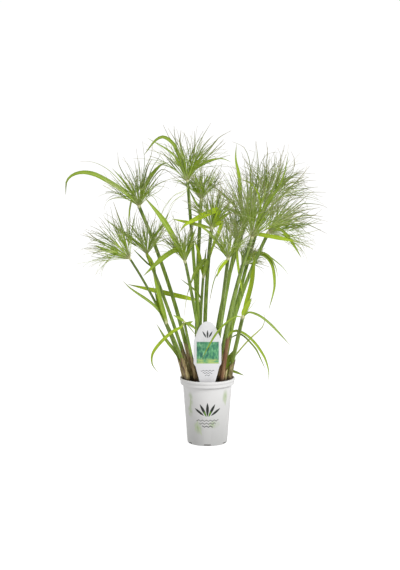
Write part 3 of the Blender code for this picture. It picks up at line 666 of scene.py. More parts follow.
def leafMask(tree, flat, leaf):
    across, up, halfLength, halfWidth, tilt = leaf
    values = {"Vector": flat, "Location": (across, up, 0),
              "Rotation": (0, 0, math.radians(tilt)), "Scale": (halfLength, halfWidth, 1)}
    near = addNode(tree, "ShaderNodeMapping", values, vector_type="TEXTURE").outputs[0]
    parts = addNode(tree, "ShaderNodeSeparateXYZ", {0: near})
    rounded = sums(tree, "MULTIPLY", parts.outputs[0], parts.outputs[0])
    edge = sums(tree, "ADD", rounded, sums(tree, "ABSOLUTE", parts.outputs[1]))
    return spread(tree, edge, 1.06, 0.94)


def barMask(tree, flat, bar):
    across, up, halfLength, halfHeight = bar
    values = {"Vector": flat, "Location": (across, up, 0), "Scale": (halfLength, halfHeight, 1)}
    near = addNode(tree, "ShaderNodeMapping", values, vector_type="TEXTURE").outputs[0]
    parts = addNode(tree, "ShaderNodeSeparateXYZ", {0: near})
    widest = sums(tree, "MAXIMUM", sums(tree, "ABSOLUTE", parts.outputs[0]),
                  sums(tree, "ABSOLUTE", parts.outputs[1]))
    return spread(tree, widest, 1.04, 0.96)


def waveMask(tree, flat, wave, pitch=8.0, rise=1.1):
    parts = addNode(tree, "ShaderNodeSeparateXYZ", {0: flat})
    swell = sums(tree, "SINE", sums(tree, "MULTIPLY", parts.outputs[0], math.tau / pitch))
    level = sums(tree, "ADD", parts.outputs[1], sums(tree, "MULTIPLY", swell, rise))
    wavy = addNode(tree, "ShaderNodeCombineXYZ", {0: parts.outputs[0], 1: level}).outputs[0]
    return barMask(tree, wavy, wave[:4])


def washMask(tree, flat, wash):
    across, up, halfWidth, halfHeight = wash
    values = {"Vector": flat, "Location": (across, up, 0), "Scale": (halfWidth, halfHeight, 1)}
    near = addNode(tree, "ShaderNodeMapping", values, vector_type="TEXTURE").outputs[0]
    reach = addNode(tree, "ShaderNodeVectorMath", {0: near}, operation="LENGTH").outputs["Value"]
    return spread(tree, reach, 1.0, 0.1)


def makePotPlastic():
    material, tree, shader = startMaterial("potPlastic")
    place = addNode(tree, "ShaderNodeTexCoord").outputs["Object"]
    parts = addNode(tree, "ShaderNodeSeparateXYZ", {0: place})
    turn = sums(tree, "ARCTAN2", parts.outputs[0], sums(tree, "MULTIPLY", parts.outputs[1], -1.0))
    across = sums(tree, "MULTIPLY", turn, potRadius(70))
    up = sums(tree, "MULTIPLY", parts.outputs[2], 1 / mm)
    flat = addNode(tree, "ShaderNodeCombineXYZ", {0: across, 1: up}).outputs[0]
    cloud = spread(tree, speckle(tree, 14, 2), 0.35, 0.65)
    colour = blendColours(tree, sums(tree, "MULTIPLY", cloud, 0.35), potLook["plastic"],
                          potLook["shadow"])
    # painted shade: the body turns darker towards the foot, mixed towards the low grey from 105 mm down to
    # 5 mm
    colour = blendColours(tree, spread(tree, up, 105, 5), colour, potLook["low"])
    blotch = spread(tree, speckle(tree, 70, 3), 0.3, 0.55)
    for wash in printedWashes:
        share = sums(tree, "MULTIPLY", washMask(tree, flat, wash), blotch)
        colour = blendColours(tree, share, colour, potLook["leaf"])
    for tone in ("paleLeaf", "dark", "fresh"):
        whole = None
        for leaf in printedLeaves[tone]:
            mask = leafMask(tree, flat, leaf)
            whole = sums(tree, "MAXIMUM", whole, mask) if whole else mask
        colour = blendColours(tree, whole, colour, potLook[tone])
    for wave in printedWaves:
        colour = blendColours(tree, waveMask(tree, flat, wave), colour, potLook[wave[4]])
    tree.links.new(colour, shader.inputs["Base Color"])
    tree.links.new(spread(tree, speckle(tree, 60), 0.3, 0.7, 0.44, 0.54), shader.inputs["Roughness"])
    shader.inputs["Specular IOR Level"].default_value = 0.25
    shader.inputs["Subsurface Weight"].default_value = 0.08
    shader.inputs["Subsurface Radius"].default_value = (0.004, 0.004, 0.004)
    addBump(tree, shader, speckle(tree, 900, 2), 0.12, 0.0002)
    return material


def makePot():
    look = potLook
    step = look["height"] - look["band"]
    inner = look["rim"] - look["wall"]
    top = look["height"]
    profile = [
        (0, look["floor"]), (look["foot"] - look["wall"] - 1, look["floor"]),
        (potRadius(2.3) - look["wall"], look["floor"] + 1), (look["bodyTop"] - look["wall"], step + 1.2),
        (inner, step + 1.2), (inner, top - 3.4), (inner - look["lip"], top - 2.2),
        (inner - look["lip"] - 0.1, top - 1.0), (inner - look["lip"] + 0.7, top),
        (look["rim"] - 1.3, top), (look["rim"] - 0.4, top - 0.5), (look["rim"], top - 1.4),
        (look["rim"], top - 4.4), (look["rim"] - 0.4, top - 5.3), (look["rim"] - 1.1, top - 5.8),
        (look["rim"] - 1.3, top - 6.4), (look["rim"] - 1.6, step + 1.2),
        (look["rim"] - 2.1, step + 0.3), (look["rim"] - 3, step), (look["bodyTop"] + 0.7, step),
        (look["bodyTop"], step - 0.8), (potRadius(2.2), 2.2),
        (potRadius(1) - 0.4, 0.8), (look["foot"] - 1.4, 0), (0, 0),
    ]
    bm = bmesh.new()
    verts = [bm.verts.new((radius * mm, 0, height * mm)) for radius, height in profile]
    edges = [bm.edges.new(pair) for pair in zip(verts, verts[1:])]
    bmesh.ops.spin(bm, geom=verts + edges, axis=(0, 0, 1), cent=(0, 0, 0), steps=look["steps"],
                   angle=math.tau, use_merge=True)
    bmesh.ops.remove_doubles(bm, verts=bm.verts, dist=0.01 * mm)
    pot = meshPiece("whitePot", bm, makePotPlastic(), 30)
    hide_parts("pot")

    bm = bmesh.new()
    for number in range(look["slots"]):
        turn = math.tau * number / look["slots"]
        width, height = look["slotSize"]
        radius = look["foot"] - look["wall"] / 2
        middle = Matrix.Rotation(turn, 4, "Z") @ Matrix.Translation(
            (0, -radius * mm, (look["slotRise"] + height / 2) * mm))
        size = Matrix.Diagonal((width * mm, 8 * mm, height * mm, 1))
        bmesh.ops.create_cube(bm, size=1, matrix=middle @ size)
    mesh = bpy.data.meshes.new("slotCutter")
    bm.to_mesh(mesh)
    bm.free()
    cutter = bpy.data.objects.new("slotCutter", mesh)
    bpy.context.scene.collection.objects.link(cutter)
    cut = pot.modifiers.new("slots", "BOOLEAN")
    cut.object = cutter
    cut.operation = "DIFFERENCE"
    keepShape(pot)
    bpy.data.objects.remove(cutter)


def keepShape(piece):
    # makes the modifiers' result the piece's own mesh
    bpy.context.view_layer.update()
    seen = piece.evaluated_get(bpy.context.evaluated_depsgraph_get())
    mesh = bpy.data.meshes.new_from_object(seen)
    old = piece.data
    piece.modifiers.clear()
    piece.data = mesh
    bpy.data.meshes.remove(old)


# Plant tag

tagLook = {
    "width": 54, "thick": 0.8, "front": -42, "top": 248, "sideFoot": 166,
    "arch": [(27, 203), (26.3, 210), (24.5, 215.6), (22.5, 221), (20.4, 226.6), (18, 232),
             (15.2, 237.6), (11, 243), (6, 246.8)],
    "shoulder": (46, 7), "stake": 30, "tip": 112, "soil": 122,
    "plastic": paint(242, 242, 244), "ink": paint(70, 74, 72), "grey": paint(140, 142, 146),
    "teal": paint(52, 128, 98), "green": paint(98, 176, 120), "deep": paint(28, 78, 84),
    "pale": paint(158, 214, 168), "glint": paint(186, 212, 120),
    "picture": (0.5, 186.6, 21.5, 21.4), "waterLine": (176, 171),
}
tagLeaves = [(0, 223, 8, 1.8, 90), (-6, 222.4, 7.4, 1.6, 120), (6, 222.4, 7.4, 1.6, 60)]
tagWaves = [(0, 151, 13, 0.7), (0, 146.5, 9, 0.7), (0, 142, 5, 0.7)]


def makeTagPlastic():
    look = tagLook
    material, tree, shader = startMaterial("tagPlastic")
    place = addNode(tree, "ShaderNodeTexCoord").outputs["Object"]
    parts = addNode(tree, "ShaderNodeSeparateXYZ", {0: place})
    across = sums(tree, "MULTIPLY", parts.outputs[0], 1 / mm)
    up = sums(tree, "MULTIPLY", parts.outputs[2], 1 / mm)
    flat = addNode(tree, "ShaderNodeCombineXYZ", {0: across, 1: up}).outputs[0]
    facing = sums(tree, "LESS_THAN", parts.outputs[1], look["front"] * mm)
    reeds = speckle(tree, 230, 4, (1, 1, 0.4), 0.6)
    ripple = speckle(tree, 90, 4, (0.5, 1, 1.2))
    scene = rampColours(tree, spread(tree, reeds, 0.32, 0.68), [
        (0.0, look["deep"]), (0.35, look["teal"]), (0.65, look["green"]), (1.0, look["pale"])])
    scene = blendColours(tree, spread(tree, ripple, 0.5, 0.7, 0.0, 0.7), scene, look["teal"])
    glints = blendColours(tree, spread(tree, speckle(tree, 160, 3, (0.5, 1, 1.6)), 0.42, 0.55),
                          look["green"], look["glint"])
    scene = blendColours(tree, spread(tree, up, *look["waterLine"]), scene, glints)
    colour = look["plastic"]
    layers = [(barMask(tree, flat, look["picture"]), scene)]
    for leaf in tagLeaves:
        layers.append((leafMask(tree, flat, leaf), look["ink"]))
    for wave in tagWaves:
        layers.append((waveMask(tree, flat, wave, 6.5, 0.9), look["grey"]))
    for mask, ink in layers:
        colour = blendColours(tree, sums(tree, "MULTIPLY", mask, facing), colour, ink)
    tree.links.new(colour, shader.inputs["Base Color"])
    shader.inputs["Roughness"].default_value = 0.3
    addBump(tree, shader, speckle(tree, 300, 2), 0.05, 0.0001)
    return material


def tagSide():
    look = tagLook
    half = look["width"] / 2
    side = [(look["stake"] / 2 - 2, look["tip"]), (look["stake"] / 2, look["soil"] + 6),
            (look["shoulder"][0] / 2, look["sideFoot"] - look["shoulder"][1]),
            (half - 0.5, look["sideFoot"] - 1.2), (half, look["sideFoot"])]
    corners = [Vector((x, 0, z)) for x, z in look["arch"] + [(0, look["top"])]]
    return side + [(point.x, point.z) for point in smoothLine(corners)[:-1]]


def makeTag():
    look = tagLook
    side = tagSide()
    outline = side + [(0, look["top"])] + [(-x, z) for x, z in reversed(side)]
    bm = bmesh.new()
    back = (look["front"] + look["thick"] / 2) * mm
    verts = [bm.verts.new((x * mm, back, z * mm)) for x, z in outline]
    sheet = bm.faces.new(verts)
    front = bmesh.ops.extrude_face_region(bm, geom=[sheet])["geom"]
    moved = [item for item in front if isinstance(item, bmesh.types.BMVert)]
    bmesh.ops.translate(bm, vec=(0, -look["thick"] * mm, 0), verts=moved)
    rims = [edge for edge in bm.edges if edge.is_manifold and edge.calc_face_angle() > 1.2
            and abs(edge.verts[0].co.y - edge.verts[1].co.y) < 0.01 * mm]
    bmesh.ops.bevel(bm, geom=rims, offset=0.22 * mm, segments=2, affect="EDGES", profile=0.5,
                    material=-1)
    tag = meshPiece("plantTag", bm, makeTagPlastic(), 50)
    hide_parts("plant_tag")


# Potting mix

mixLook = {"top": 122, "bottom": 1.6, "radius": 52.4, "rough": 1.8, "chips": 170, "seed": 5,
           "dark": paint(34, 26, 20), "brown": paint(74, 54, 38), "bark": paint(112, 84, 58),
           "pale": paint(158, 140, 116)}


def makeMixMaterial():
    look = mixLook
    material, tree, shader = startMaterial("pottingMix")
    grain = speckle(tree, 260, 6, roughness=0.65)
    colour = rampColours(tree, grain, [(0.3, look["dark"]), (0.52, look["brown"]),
                                       (0.66, look["bark"]), (0.8, look["pale"])])
    tree.links.new(colour, shader.inputs["Base Color"])
    shader.inputs["Roughness"].default_value = 0.95
    addBump(tree, shader, speckle(tree, 600, 5), 0.6, 0.001)
    return material


def makeMix():
    look = mixLook
    bm = bmesh.new()
    steps = 13
    profile = [(look["radius"] * i / steps, look["top"]) for i in range(steps + 1)]
    step = potLook["height"] - potLook["band"]
    profile += [(look["radius"], step + 1.6), (potLook["bodyTop"] - 1.8, step + 1.4),
                (potRadius(look["bottom"]) - 2.4, look["bottom"]), (0, look["bottom"])]
    verts = [bm.verts.new((radius * mm, 0, height * mm)) for radius, height in profile]
    edges = [bm.edges.new(pair) for pair in zip(verts, verts[1:])]
    bmesh.ops.spin(bm, geom=verts + edges, axis=(0, 0, 1), cent=(0, 0, 0), steps=64,
                   angle=math.tau, use_merge=True)
    bmesh.ops.remove_doubles(bm, verts=bm.verts, dist=0.01 * mm)
    for vert in bm.verts:
        if vert.co.z > (look["top"] - 1) * mm:
            lift = noise.noise(vert.co * 120) + 0.6 * noise.noise(vert.co * 320)
            vert.co.z += lift * look["rough"] * mm
    draw = random.Random(look["seed"])
    for number in range(look["chips"]):
        radius = look["radius"] * 0.94 * math.sqrt(draw.random())
        turn = draw.uniform(0, math.tau)
        place = Matrix.Translation((radius * math.cos(turn) * mm, radius * math.sin(turn) * mm,
                                    (look["top"] + draw.uniform(-0.6, 1.0)) * mm))
        tilt = Quaternion((draw.gauss(0, 1), draw.gauss(0, 1), draw.gauss(0, 1)),
                          draw.uniform(0, 0.7)).to_matrix().to_4x4()
        spin = Matrix.Rotation(draw.uniform(0, math.tau), 4, "Z")
        size = Matrix.Diagonal((draw.uniform(1.5, 4.5) * mm, draw.uniform(1.0, 2.4) * mm,
                                draw.uniform(0.5, 1.4) * mm, 1))
        bmesh.ops.create_icosphere(bm, subdivisions=1, radius=1, matrix=place @ tilt @ spin @ size)
    mix = meshPiece("pottingMix", bm, makeMixMaterial(), 60)
    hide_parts("soil")


# Stems

stemLook = {
    "root": 125.3, "steps": 22, "sizeOfGirth": 0.61,
    "deep": paint(60, 84, 22), "mid": paint(118, 148, 46), "pale": paint(178, 200, 104),
    "foot": paint(160, 148, 88), "faceTurn": 90,
}


def makeStemSkin():
    look = stemLook
    material, tree, shader = startMaterial("stemSkin")
    shader.inputs["Specular IOR Level"].default_value = 0.2
    along = mark(tree, "along")
    tint = mark(tree, "tint")
    body = rampColours(tree, along, [(0.0, look["foot"]), (0.08, look["foot"]), (0.22, look["mid"]),
                                     (0.6, look["mid"]), (1.0, look["deep"])])
    body = blendColours(tree, sums(tree, "MULTIPLY", tint, 0.55), body, look["pale"])
    streak = speckle(tree, 420, 2, (1, 1, 0.02))
    patch = speckle(tree, 22, 3, (1, 1, 0.3))
    body = blendColours(tree, spread(tree, streak, 0.45, 0.65, 0.0, 0.5), body, look["pale"])
    body = blendColours(tree, spread(tree, streak, 0.5, 0.3, 0.0, 0.55), body, look["deep"])
    body = blendColours(tree, spread(tree, patch, 0.5, 0.8, 0.0, 0.4), body, look["deep"])
    tree.links.new(body, shader.inputs["Base Color"])
    tree.links.new(spread(tree, patch, 0.3, 0.7, 0.3, 0.42), shader.inputs["Roughness"])
    shader.inputs["Subsurface Weight"].default_value = 0.05
    shader.inputs["Subsurface Radius"].default_value = (0.002, 0.003, 0.001)
    addBump(tree, shader, streak, 0.25, 0.0003)
    return material


def threeAngled():
    # a triangle with rounded corners, as unit offsets
    corners = []
    for number in range(3):
        for lean in (-0.34, 0.0, 0.34):
            turn = math.tau * number / 3 + lean
            reach = 1.0 - 0.16 * abs(lean) / 0.34
            corners.append((math.cos(turn) * reach, math.sin(turn) * reach))
    return corners


def makeStems(skin):
    for number, shoot in shoots.items():
        look = stemLook
        draw = random.Random(int(number) + 40)
        bm = bmesh.new()
        marks = markLayers(bm)
        route = [stemPoint(shoot, step / look["steps"]) for step in range(look["steps"] + 1)]
        low, high = shoot["girth"]
        sizes = [(low + (high - low) * step / look["steps"]) * look["sizeOfGirth"] * mm
                 for step in range(look["steps"] + 1)]
        side = levelDirection(look["faceTurn"] + draw.uniform(-50, 50))
        sweep(bm, marks, route, threeAngled(), sizes, side, shoot["shade"])
        stem = meshPiece("culm" + number, bm, skin, 24)
        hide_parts("stem_" + number)


# Leaves and bracts

leafLook = {
    "steps": 24, "roll": 28,
    "deep": paint(106, 130, 36), "mid": paint(150, 178, 48), "lime": paint(186, 214, 26),
    "foot": paint(212, 212, 154), "tip": paint(128, 122, 78), "rib": paint(200, 216, 116),
    "straw": paint(222, 214, 158),
}
bladeOutline = [(-0.5, 0.2), (0.0, -0.1), (0.5, 0.2), (0.0, 0.02)]


def makeLeafSkin():
    look = leafLook
    material, tree, shader = startMaterial("leafSkin")
    shader.inputs["Specular IOR Level"].default_value = 0.3
    along = mark(tree, "along")
    across = sums(tree, "ABSOLUTE", mark(tree, "across"))
    tint = mark(tree, "tint")
    colour = rampColours(tree, sums(tree, "MULTIPLY", tint, 0.5), [
        (0.0, look["deep"]), (0.25, look["mid"]), (0.5, look["lime"]), (1.0, look["straw"])])
    cloud = speckle(tree, 40, 3)
    colour = blendColours(tree, spread(tree, cloud, 0.5, 0.75, 0.0, 0.45), colour, look["deep"])
    rib = spread(tree, across, 0.0, 0.22, 0.55, 0.0)
    colour = blendColours(tree, rib, colour, look["rib"])
    edge = spread(tree, across, 0.8, 1.0, 0.0, 0.35)
    colour = blendColours(tree, edge, colour, look["deep"])
    colour = blendColours(tree, spread(tree, along, 0.0, 0.1, 0.8, 0.0), colour, look["foot"])
    colour = blendColours(tree, spread(tree, along, 0.82, 1.0, 0.0, 0.7), colour, look["tip"])
    tree.links.new(colour, shader.inputs["Base Color"])
    tree.links.new(spread(tree, cloud, 0.3, 0.7, 0.34, 0.48), shader.inputs["Roughness"])
    shader.inputs["Subsurface Weight"].default_value = 0.1
    shader.inputs["Subsurface Radius"].default_value = (0.002, 0.003, 0.001)
    veins = sums(tree, "SINE", sums(tree, "MULTIPLY", mark(tree, "across"), 40.0))
    addBump(tree, shader, veins, 0.2, 0.0001)
    return material


def leafWidth(share, width):
    swell = min(1.0, 0.55 + share * 1.9)
    fade = min(1.0, (1.0 - share) * 2.5)
    return max(0.4, width * 1.08 * swell * fade ** 0.8) * mm


def addLeaf(bm, marks, start, leaf, draw):
    # the blade lies in the picture's plane, its upper edge rolled away from the front
    width, tint, lean, places = leaf
    steps = leafLook["steps"]
    route = drawnRoute(start, lean, places, steps)
    sizes = [leafWidth(step / steps, width) for step in range(steps + 1)]
    ahead = (route[1] - route[0]).normalized()
    side = ahead.cross(Vector((0, 1, 0)))
    roll = math.radians(leafLook["roll"] + draw.uniform(-12, 12))
    side.rotate(Quaternion(ahead, math.copysign(roll, start.x - route[steps // 2].x)))
    tint = max(0.0, tint + draw.uniform(-0.06, 0.06))
    sweep(bm, marks, route, bladeOutline, sizes, side, tint, twist=draw.uniform(-0.4, 0.4))


# Tufts of rays

tuftLook = {
    "strong": {"rays": 15, "stalk": (0.2, 0.4), "stalkWidth": (0.6, 0.5), "threads": (2, 3),
               "threadWidth": (0.9, 0.36), "fan": (4, 24), "droop": (-0.25, 0.8), "curl": 0.6,
               "reach": (0.8, 1.06), "steps": 8},
    "fine": {"rays": 34, "stalk": (0.3, 0.5), "stalkWidth": (0.4, 0.34), "threads": (1, 3),
             "threadWidth": (0.4, 0.26), "fan": (8, 46), "droop": (-0.4, 1.3), "curl": 1.7,
             "reach": (0.75, 1.1), "steps": 8},
    "hub": paint(214, 204, 168), "pale": paint(206, 216, 156), "green": paint(172, 196, 72),
    "deep": paint(136, 162, 54), "dark": paint(108, 126, 48), "tip": paint(142, 128, 98),
    "lime": paint(190, 216, 60),
    "hubSize": 1.15, "drawnSteps": 14,
}


def makeTuftSkin():
    look = tuftLook
    material, tree, shader = startMaterial("raySkin")
    shader.inputs["Specular IOR Level"].default_value = 0.3
    along = mark(tree, "along")
    tint = mark(tree, "tint")
    colour = rampColours(tree, along, [
        (0.0, look["pale"]), (0.16, look["green"]), (0.34, look["deep"]),
        (0.66, look["dark"]), (1.0, look["tip"])])
    young = rampColours(tree, along, [
        (0.0, look["hub"]), (0.14, look["pale"]), (0.34, look["lime"]),
        (0.66, look["pale"]), (1.0, look["hub"])])
    colour = blendColours(tree, tint, colour, young)
    tree.links.new(colour, shader.inputs["Base Color"])
    shader.inputs["Roughness"].default_value = 0.45
    shader.inputs["Subsurface Weight"].default_value = 0.1
    shader.inputs["Subsurface Radius"].default_value = (0.001, 0.002, 0.001)
    addBump(tree, shader, speckle(tree, 500, 2), 0.2, 0.0002)
    return material


rayOutline = [(1.0, 0.0), (-0.5, 0.866), (-0.5, -0.866)]


def bentRoute(start, heading, length, droop, steps, curl=0.0):
    # a line that leans over towards the ground and curls to one side as it goes
    route = [start.copy()]
    point = start.copy()
    pull = Vector((0, 0, -droop)) + heading.cross(Vector((0.3, 0.2, 1))) * curl
    for number in range(steps):
        heading = (heading + pull / steps).normalized()
        point = point + heading * (length / steps)
        route.append(point.copy())
    return route, heading


def turnedAside(heading, angle, spin):
    side = heading.orthogonal().normalized()
    side.rotate(Quaternion(heading, spin))
    turned = heading.copy()
    turned.rotate(Quaternion(side, angle))
    return turned


def addRay(bm, marks, hub, heading, reach, draw, tint, look):
    stalk = reach * draw.uniform(*look["stalk"])
    route, ahead = bentRoute(hub, heading, stalk, draw.uniform(*look["droop"]) * 0.2, 3)
    first, last = look["stalkWidth"]
    alongs = [stalk / reach * step / 3 for step in range(4)]
    sizes = [(first + (last - first) * step / 3) * mm for step in range(4)]
    sweep(bm, marks, route, rayOutline, sizes, heading.orthogonal(), tint, alongs)
    steps = look["steps"]
    for number in range(draw.randint(*look["threads"])):
        away = turnedAside(ahead, math.radians(draw.uniform(*look["fan"])),
                           draw.uniform(0, math.tau))
        length = (reach - stalk) * draw.uniform(0.6, 1.0)
        line, _ = bentRoute(route[-1] - ahead * mm, away, length, draw.uniform(*look["droop"]),
                            steps, draw.gauss(0, look["curl"]))
        first, last = look["threadWidth"]
        sizes = [(last + (first - last) * min(1, 1.5 * (1 - step / steps)) ** 1.1) * mm
                 for step in range(steps + 1)]
        sizes[0] *= 0.6
        alongs = [(stalk + length * step / steps) / reach for step in range(steps + 1)]
        sweep(bm, marks, line, rayOutline, sizes, away.orthogonal(), tint, alongs)


def addDrawnRay(bm, marks, hub, ray):
    width, faint, lean, places = ray
    steps = tuftLook["drawnSteps"]
    route = drawnRoute(hub, lean, places, steps)
    sizes = []
    for step in range(steps + 1):
        share = step / steps
        swell = min(1.0, 0.5 + share * 1.6)
        fade = min(1.0, (1.0 - share) * 2.4)
        sizes.append(max(0.3, width * 0.62 * swell * fade ** 0.6) * mm)
    sweep(bm, marks, route, rayOutline, sizes, Vector((0, 1, 0.2)), 0.1 + faint * 0.5)


def addTuft(bm, marks, number, shoot):
    draw = random.Random(int(number))
    hub = stemPoint(shoot, 1.0)
    heading, pitch, halfAngle, reach, fullness = shoot["tuft"]
    middle = levelDirection(heading, pitch)
    golden = math.pi * (3 - math.sqrt(5))
    for kind in ("strong", "fine"):
        look = tuftLook[kind]
        rays = round(look["rays"] * fullness)
        for ray in range(rays):
            share = math.sqrt((ray + 0.5) / rays)
            lean = math.radians(halfAngle) * share * draw.uniform(0.88, 1.12)
            out = turnedAside(middle, lean, golden * ray + draw.uniform(-0.4, 0.4))
            length = reach * mm * draw.uniform(*look["reach"])
            tint = draw.random()
            addRay(bm, marks, hub + out * 2 * mm, out, length, draw, tint, look)


def addHub(bm, shoot):
    # the little swelling that everything at a stem's top grows from
    knob = bmesh.new()
    marks = markLayers(knob)
    radius = shoot["girth"][1] * 0.5 * tuftLook["hubSize"] * mm
    aim = stemDirection(shoot, 0.98).to_track_quat("Z", "Y").to_matrix().to_4x4()
    place = Matrix.Translation(stemPoint(shoot, 1.0)) @ aim @ Matrix.Diagonal((1, 1, 1.3, 1))
    bmesh.ops.create_uvsphere(knob, u_segments=12, v_segments=8, radius=radius, matrix=place)
    for vert in knob.verts:
        vert[marks["tint"]] = 0.4
    joinTo(bm, knob)


# leaves that leave a stem below its head, at a share of its height
stemLeaves = {
    "04": [(0.85, (8.5, 0.85, -4, [(-107, 352), (-119, 381)])),
           (0.9, (3.6, 0.25, -8, [(-118, 358), (-145, 387)]))],
    "17": [(0.77, (4.2, 0.45, 8, [(-21, 303), (-53, 329)]))],
}


def makeHeads(raySkin, leafSkin):
    for number, shoot in shoots.items():
        draw = random.Random(int(number) + 100)
        node = ("umbel_" if "tuft" in shoot else "young_shoot_") + number
        bm = bmesh.new()
        marks = markLayers(bm)
        addHub(bm, shoot)
        if "tuft" in shoot:
            addTuft(bm, marks, number, shoot)
        for ray in drawnRays.get(number, []):
            addDrawnRay(bm, marks, stemPoint(shoot, 1.0), ray)
        tuft = meshPiece("tuft" + number, bm, raySkin, 50)
        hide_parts(node)
        bm = bmesh.new()
        marks = markLayers(bm)
        for leaf in drawnLeaves[number]:
            addLeaf(bm, marks, stemPoint(shoot, 1.0), leaf, draw)
        for share, leaf in stemLeaves.get(number, []):
            addLeaf(bm, marks, stemPoint(shoot, share), leaf, draw)
        bracts = meshPiece("bracts" + number, bm, leafSkin, 50)
        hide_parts(node)


# Leaves that come straight out of the crowns

basalLeaves = {
    "left_pale": [((-45, -17, 152), (6, 0.3, -37, [(-47, 160), (-65, 190), (-79, 210), (-98, 245)]))],
    "right_arching": [
        ((39, -37, 206), (4.6, 0.6, -27, [(42, 222), (47, 227), (55, 230), (71, 225), (91, 208),
                                           (108, 184), (114, 170), (118, 153), (118, 134)])),
        ((41, -37, 212), (3, 0.2, -24, [(58, 222), (68, 221), (88, 202), (96, 191), (113, 154)]))],
    "right_dried": [((39, 2, 140), (3.2, 1.5, 18, [(46, 158), (63, 181), (83, 203), (107, 225),
                                                   (111, 233), (113, 248), (108, 253)]))],
    "right_blade": [((36, -21, 134), (9, 0.35, -4, [(40, 165), (54, 192)]))],
    "right_small": [((42, -10, 134), (4.6, 0.3, -4, [(44, 144), (51, 144), (72, 136)]))],
}


def makeBasalLeaves(leafSkin):
    for number, (name, leaves) in enumerate(basalLeaves.items()):
        draw = random.Random(number + 300)
        bm = bmesh.new()
        marks = markLayers(bm)
        for foot, leaf in leaves:
            addLeaf(bm, marks, Vector(foot) * mm, leaf, draw)
        piece = meshPiece("basalLeaf_" + name, bm, leafSkin, 50)
        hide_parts("basal_leaf_" + name)


# Crowns: a low rhizome with the dry sheaths that the stems stand in

crownLook = {
    "floor": 121.4, "rise": 7, "sides": 12, "steps": 8,
    "left": {"centre": (-24, -2), "spread": (18, 28)},
    "right": {"centre": (26, -1), "spread": (18, 29)},
    "bare": {"left": [((-41, -15), (-43, -17, 149), (9, 6), 0)],
             "right": [((27, -29), (40, -37, 216), (9.5, 7.6), 0.9), ((38, -2), (43, -4, 152), (9, 6), 0.2),
                       ((33, -27), (37, -31, 151), (8, 4.6), 0)]},
    "dark": paint(66, 46, 30), "brown": paint(122, 92, 60), "tan": paint(176, 158, 108),
    "straw": paint(226, 210, 158), "green": paint(142, 146, 84), "red": paint(134, 84, 56),
    # heights in millimetres where the sheaths start and finish turning darker towards the bottom
    "darkeningHeights": (138, 130),
}


def makeSheathSkin():
    look = crownLook
    material, tree, shader = startMaterial("drySheath")
    fibre = speckle(tree, 260, 4, (1, 1, 0.06))
    patch = speckle(tree, 45, 3)
    along = mark(tree, "along")
    colour = rampColours(tree, spread(tree, fibre, 0.3, 0.7), [
        (0.0, look["dark"]), (0.35, look["brown"]), (0.7, look["tan"]), (1.0, look["straw"])])
    tint = mark(tree, "tint")
    colour = blendColours(tree, spread(tree, patch, 0.45, 0.7, 0.0, 0.5), colour, look["green"])
    colour = blendColours(tree, spread(tree, tint, 0.35, 1.0, 0.0, 0.8), colour, look["red"])
    colour = blendColours(tree, spread(tree, fibre, 0.62, 0.7, 0.0, 0.6), colour, look["straw"])
    place = addNode(tree, "ShaderNodeTexCoord").outputs["Object"]
    rise = addNode(tree, "ShaderNodeSeparateXYZ", {0: place}).outputs[2]
    # the sheaths turn darker towards the bottom, from 138 mm down to 130 mm and below
    lowerDarkening = spread(tree, rise, look["darkeningHeights"][0] * mm, look["darkeningHeights"][1] * mm, 0.0, 0.85)
    colour = blendColours(tree, lowerDarkening, colour, paint(40, 28, 20))
    tree.links.new(colour, shader.inputs["Base Color"])
    shader.inputs["Roughness"].default_value = 0.62
    addBump(tree, shader, fibre, 0.5, 0.0005)
    return material


def addSheath(bm, route, radii, slant, tint):
    # a closed sleeve with a slanted mouth, one side drawn up to a point
    sides = crownLook["sides"]
    outline = [(math.cos(math.tau * i / sides), math.sin(math.tau * i / sides))
               for i in range(sides)]
    sleeve = bmesh.new()
    mouth = sweep(sleeve, markLayers(sleeve), route, outline, radii, levelDirection(slant),
                  tint)[-1]
    face = next(face for face in mouth[0].link_faces if len(face.verts) == sides)
    up = (route[-1] - route[-2]).normalized()
    lean = levelDirection(slant)
    for vert in mouth:
        share = (vert.co - route[-1]).dot(lean) / radii[-1]
        vert.co += up * (share + max(0, share) ** 3) * radii[-1] * 1.6
    bmesh.ops.inset_region(sleeve, faces=[face], thickness=0.45 * mm)
    bmesh.ops.translate(sleeve, vec=up * -2.5 * mm, verts=face.verts)
    joinTo(bm, sleeve)


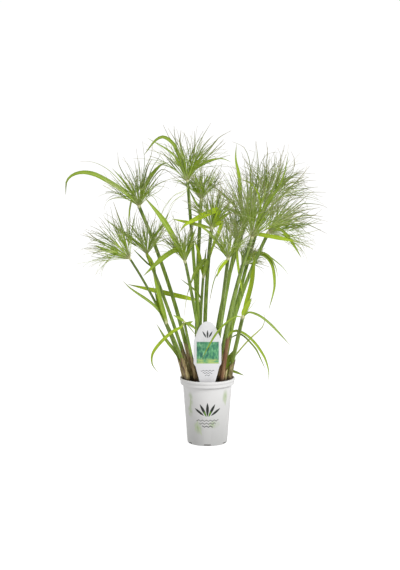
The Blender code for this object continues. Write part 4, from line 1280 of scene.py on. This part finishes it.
def makeCrown(side, skin):
    look = crownLook
    bm = bmesh.new()
    markLayers(bm)
    spec = look[side]
    root = bmesh.new()
    centre = Vector((*spec["centre"], look["floor"])) * mm
    size = Matrix.Diagonal((spec["spread"][0] * mm, spec["spread"][1] * mm, look["rise"] * mm, 1))
    bmesh.ops.create_uvsphere(root, u_segments=32, v_segments=16, radius=1,
                              matrix=Matrix.Translation(centre) @ size)
    for vert in root.verts:
        vert.co += (vert.co - centre).normalized() * noise.noise(vert.co * 90) * 2 * mm
    joinTo(bm, root)
    for number, shoot in shoots.items():
        if shoot["crown"] != side:
            continue
        draw = random.Random(int(number) + 200)
        length = (stemPoint(shoot, 1) - stemPoint(shoot, 0)).length
        for layer in range(2):
            reach = shoot["sheath"] * (1.5 if layer == 0 else 0.8) * mm / length
            steps = look["steps"]
            route = [stemPoint(shoot, reach * step / steps) for step in range(steps + 1)]
            wide = shoot["girth"][0] / 2 + (1.4 if layer == 0 else 2.4)
            tight = shoot["girth"][0] / 2 + (0.5 if layer == 0 else 1.2)
            radii = [(wide + (tight - wide) * step / steps) * mm for step in range(steps + 1)]
            redness = draw.random() * (1.0 if side == "right" else 0.6)
            addSheath(bm, route, radii, draw.uniform(0, 360), redness)
    for foot, top, girth, redness in look["bare"][side]:
        start = Vector((*foot, stemLook["root"])) * mm
        end = Vector(top) * mm
        steps = look["steps"]
        route = [start.lerp(end, step / steps) for step in range(steps + 1)]
        radii = [(girth[0] + (girth[1] - girth[0]) * step / steps) / 2 * mm
                 for step in range(steps + 1)]
        addSheath(bm, route, radii, 20, redness)
    crown = meshPiece(side + "Crown", bm, skin, 45)
    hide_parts("crown_" + side)


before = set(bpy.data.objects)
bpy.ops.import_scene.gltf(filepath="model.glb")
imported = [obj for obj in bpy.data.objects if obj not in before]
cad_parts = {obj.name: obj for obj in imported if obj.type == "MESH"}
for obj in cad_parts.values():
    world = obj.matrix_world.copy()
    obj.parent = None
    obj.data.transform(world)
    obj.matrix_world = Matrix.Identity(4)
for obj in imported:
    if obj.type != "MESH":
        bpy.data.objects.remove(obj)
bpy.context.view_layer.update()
print("camera and studio")
makeCamera()
makeStudio()
print("pot, tag and potting mix")
makePot()
makeTag()
makeMix()
print("stems")
makeStems(makeStemSkin())
print("heads")
leafSkin = makeLeafSkin()
makeHeads(makeTuftSkin(), leafSkin)
makeBasalLeaves(leafSkin)
print("crowns")
sheathSkin = makeSheathSkin()
for side in ("left", "right"):
    makeCrown(side, sheathSkin)
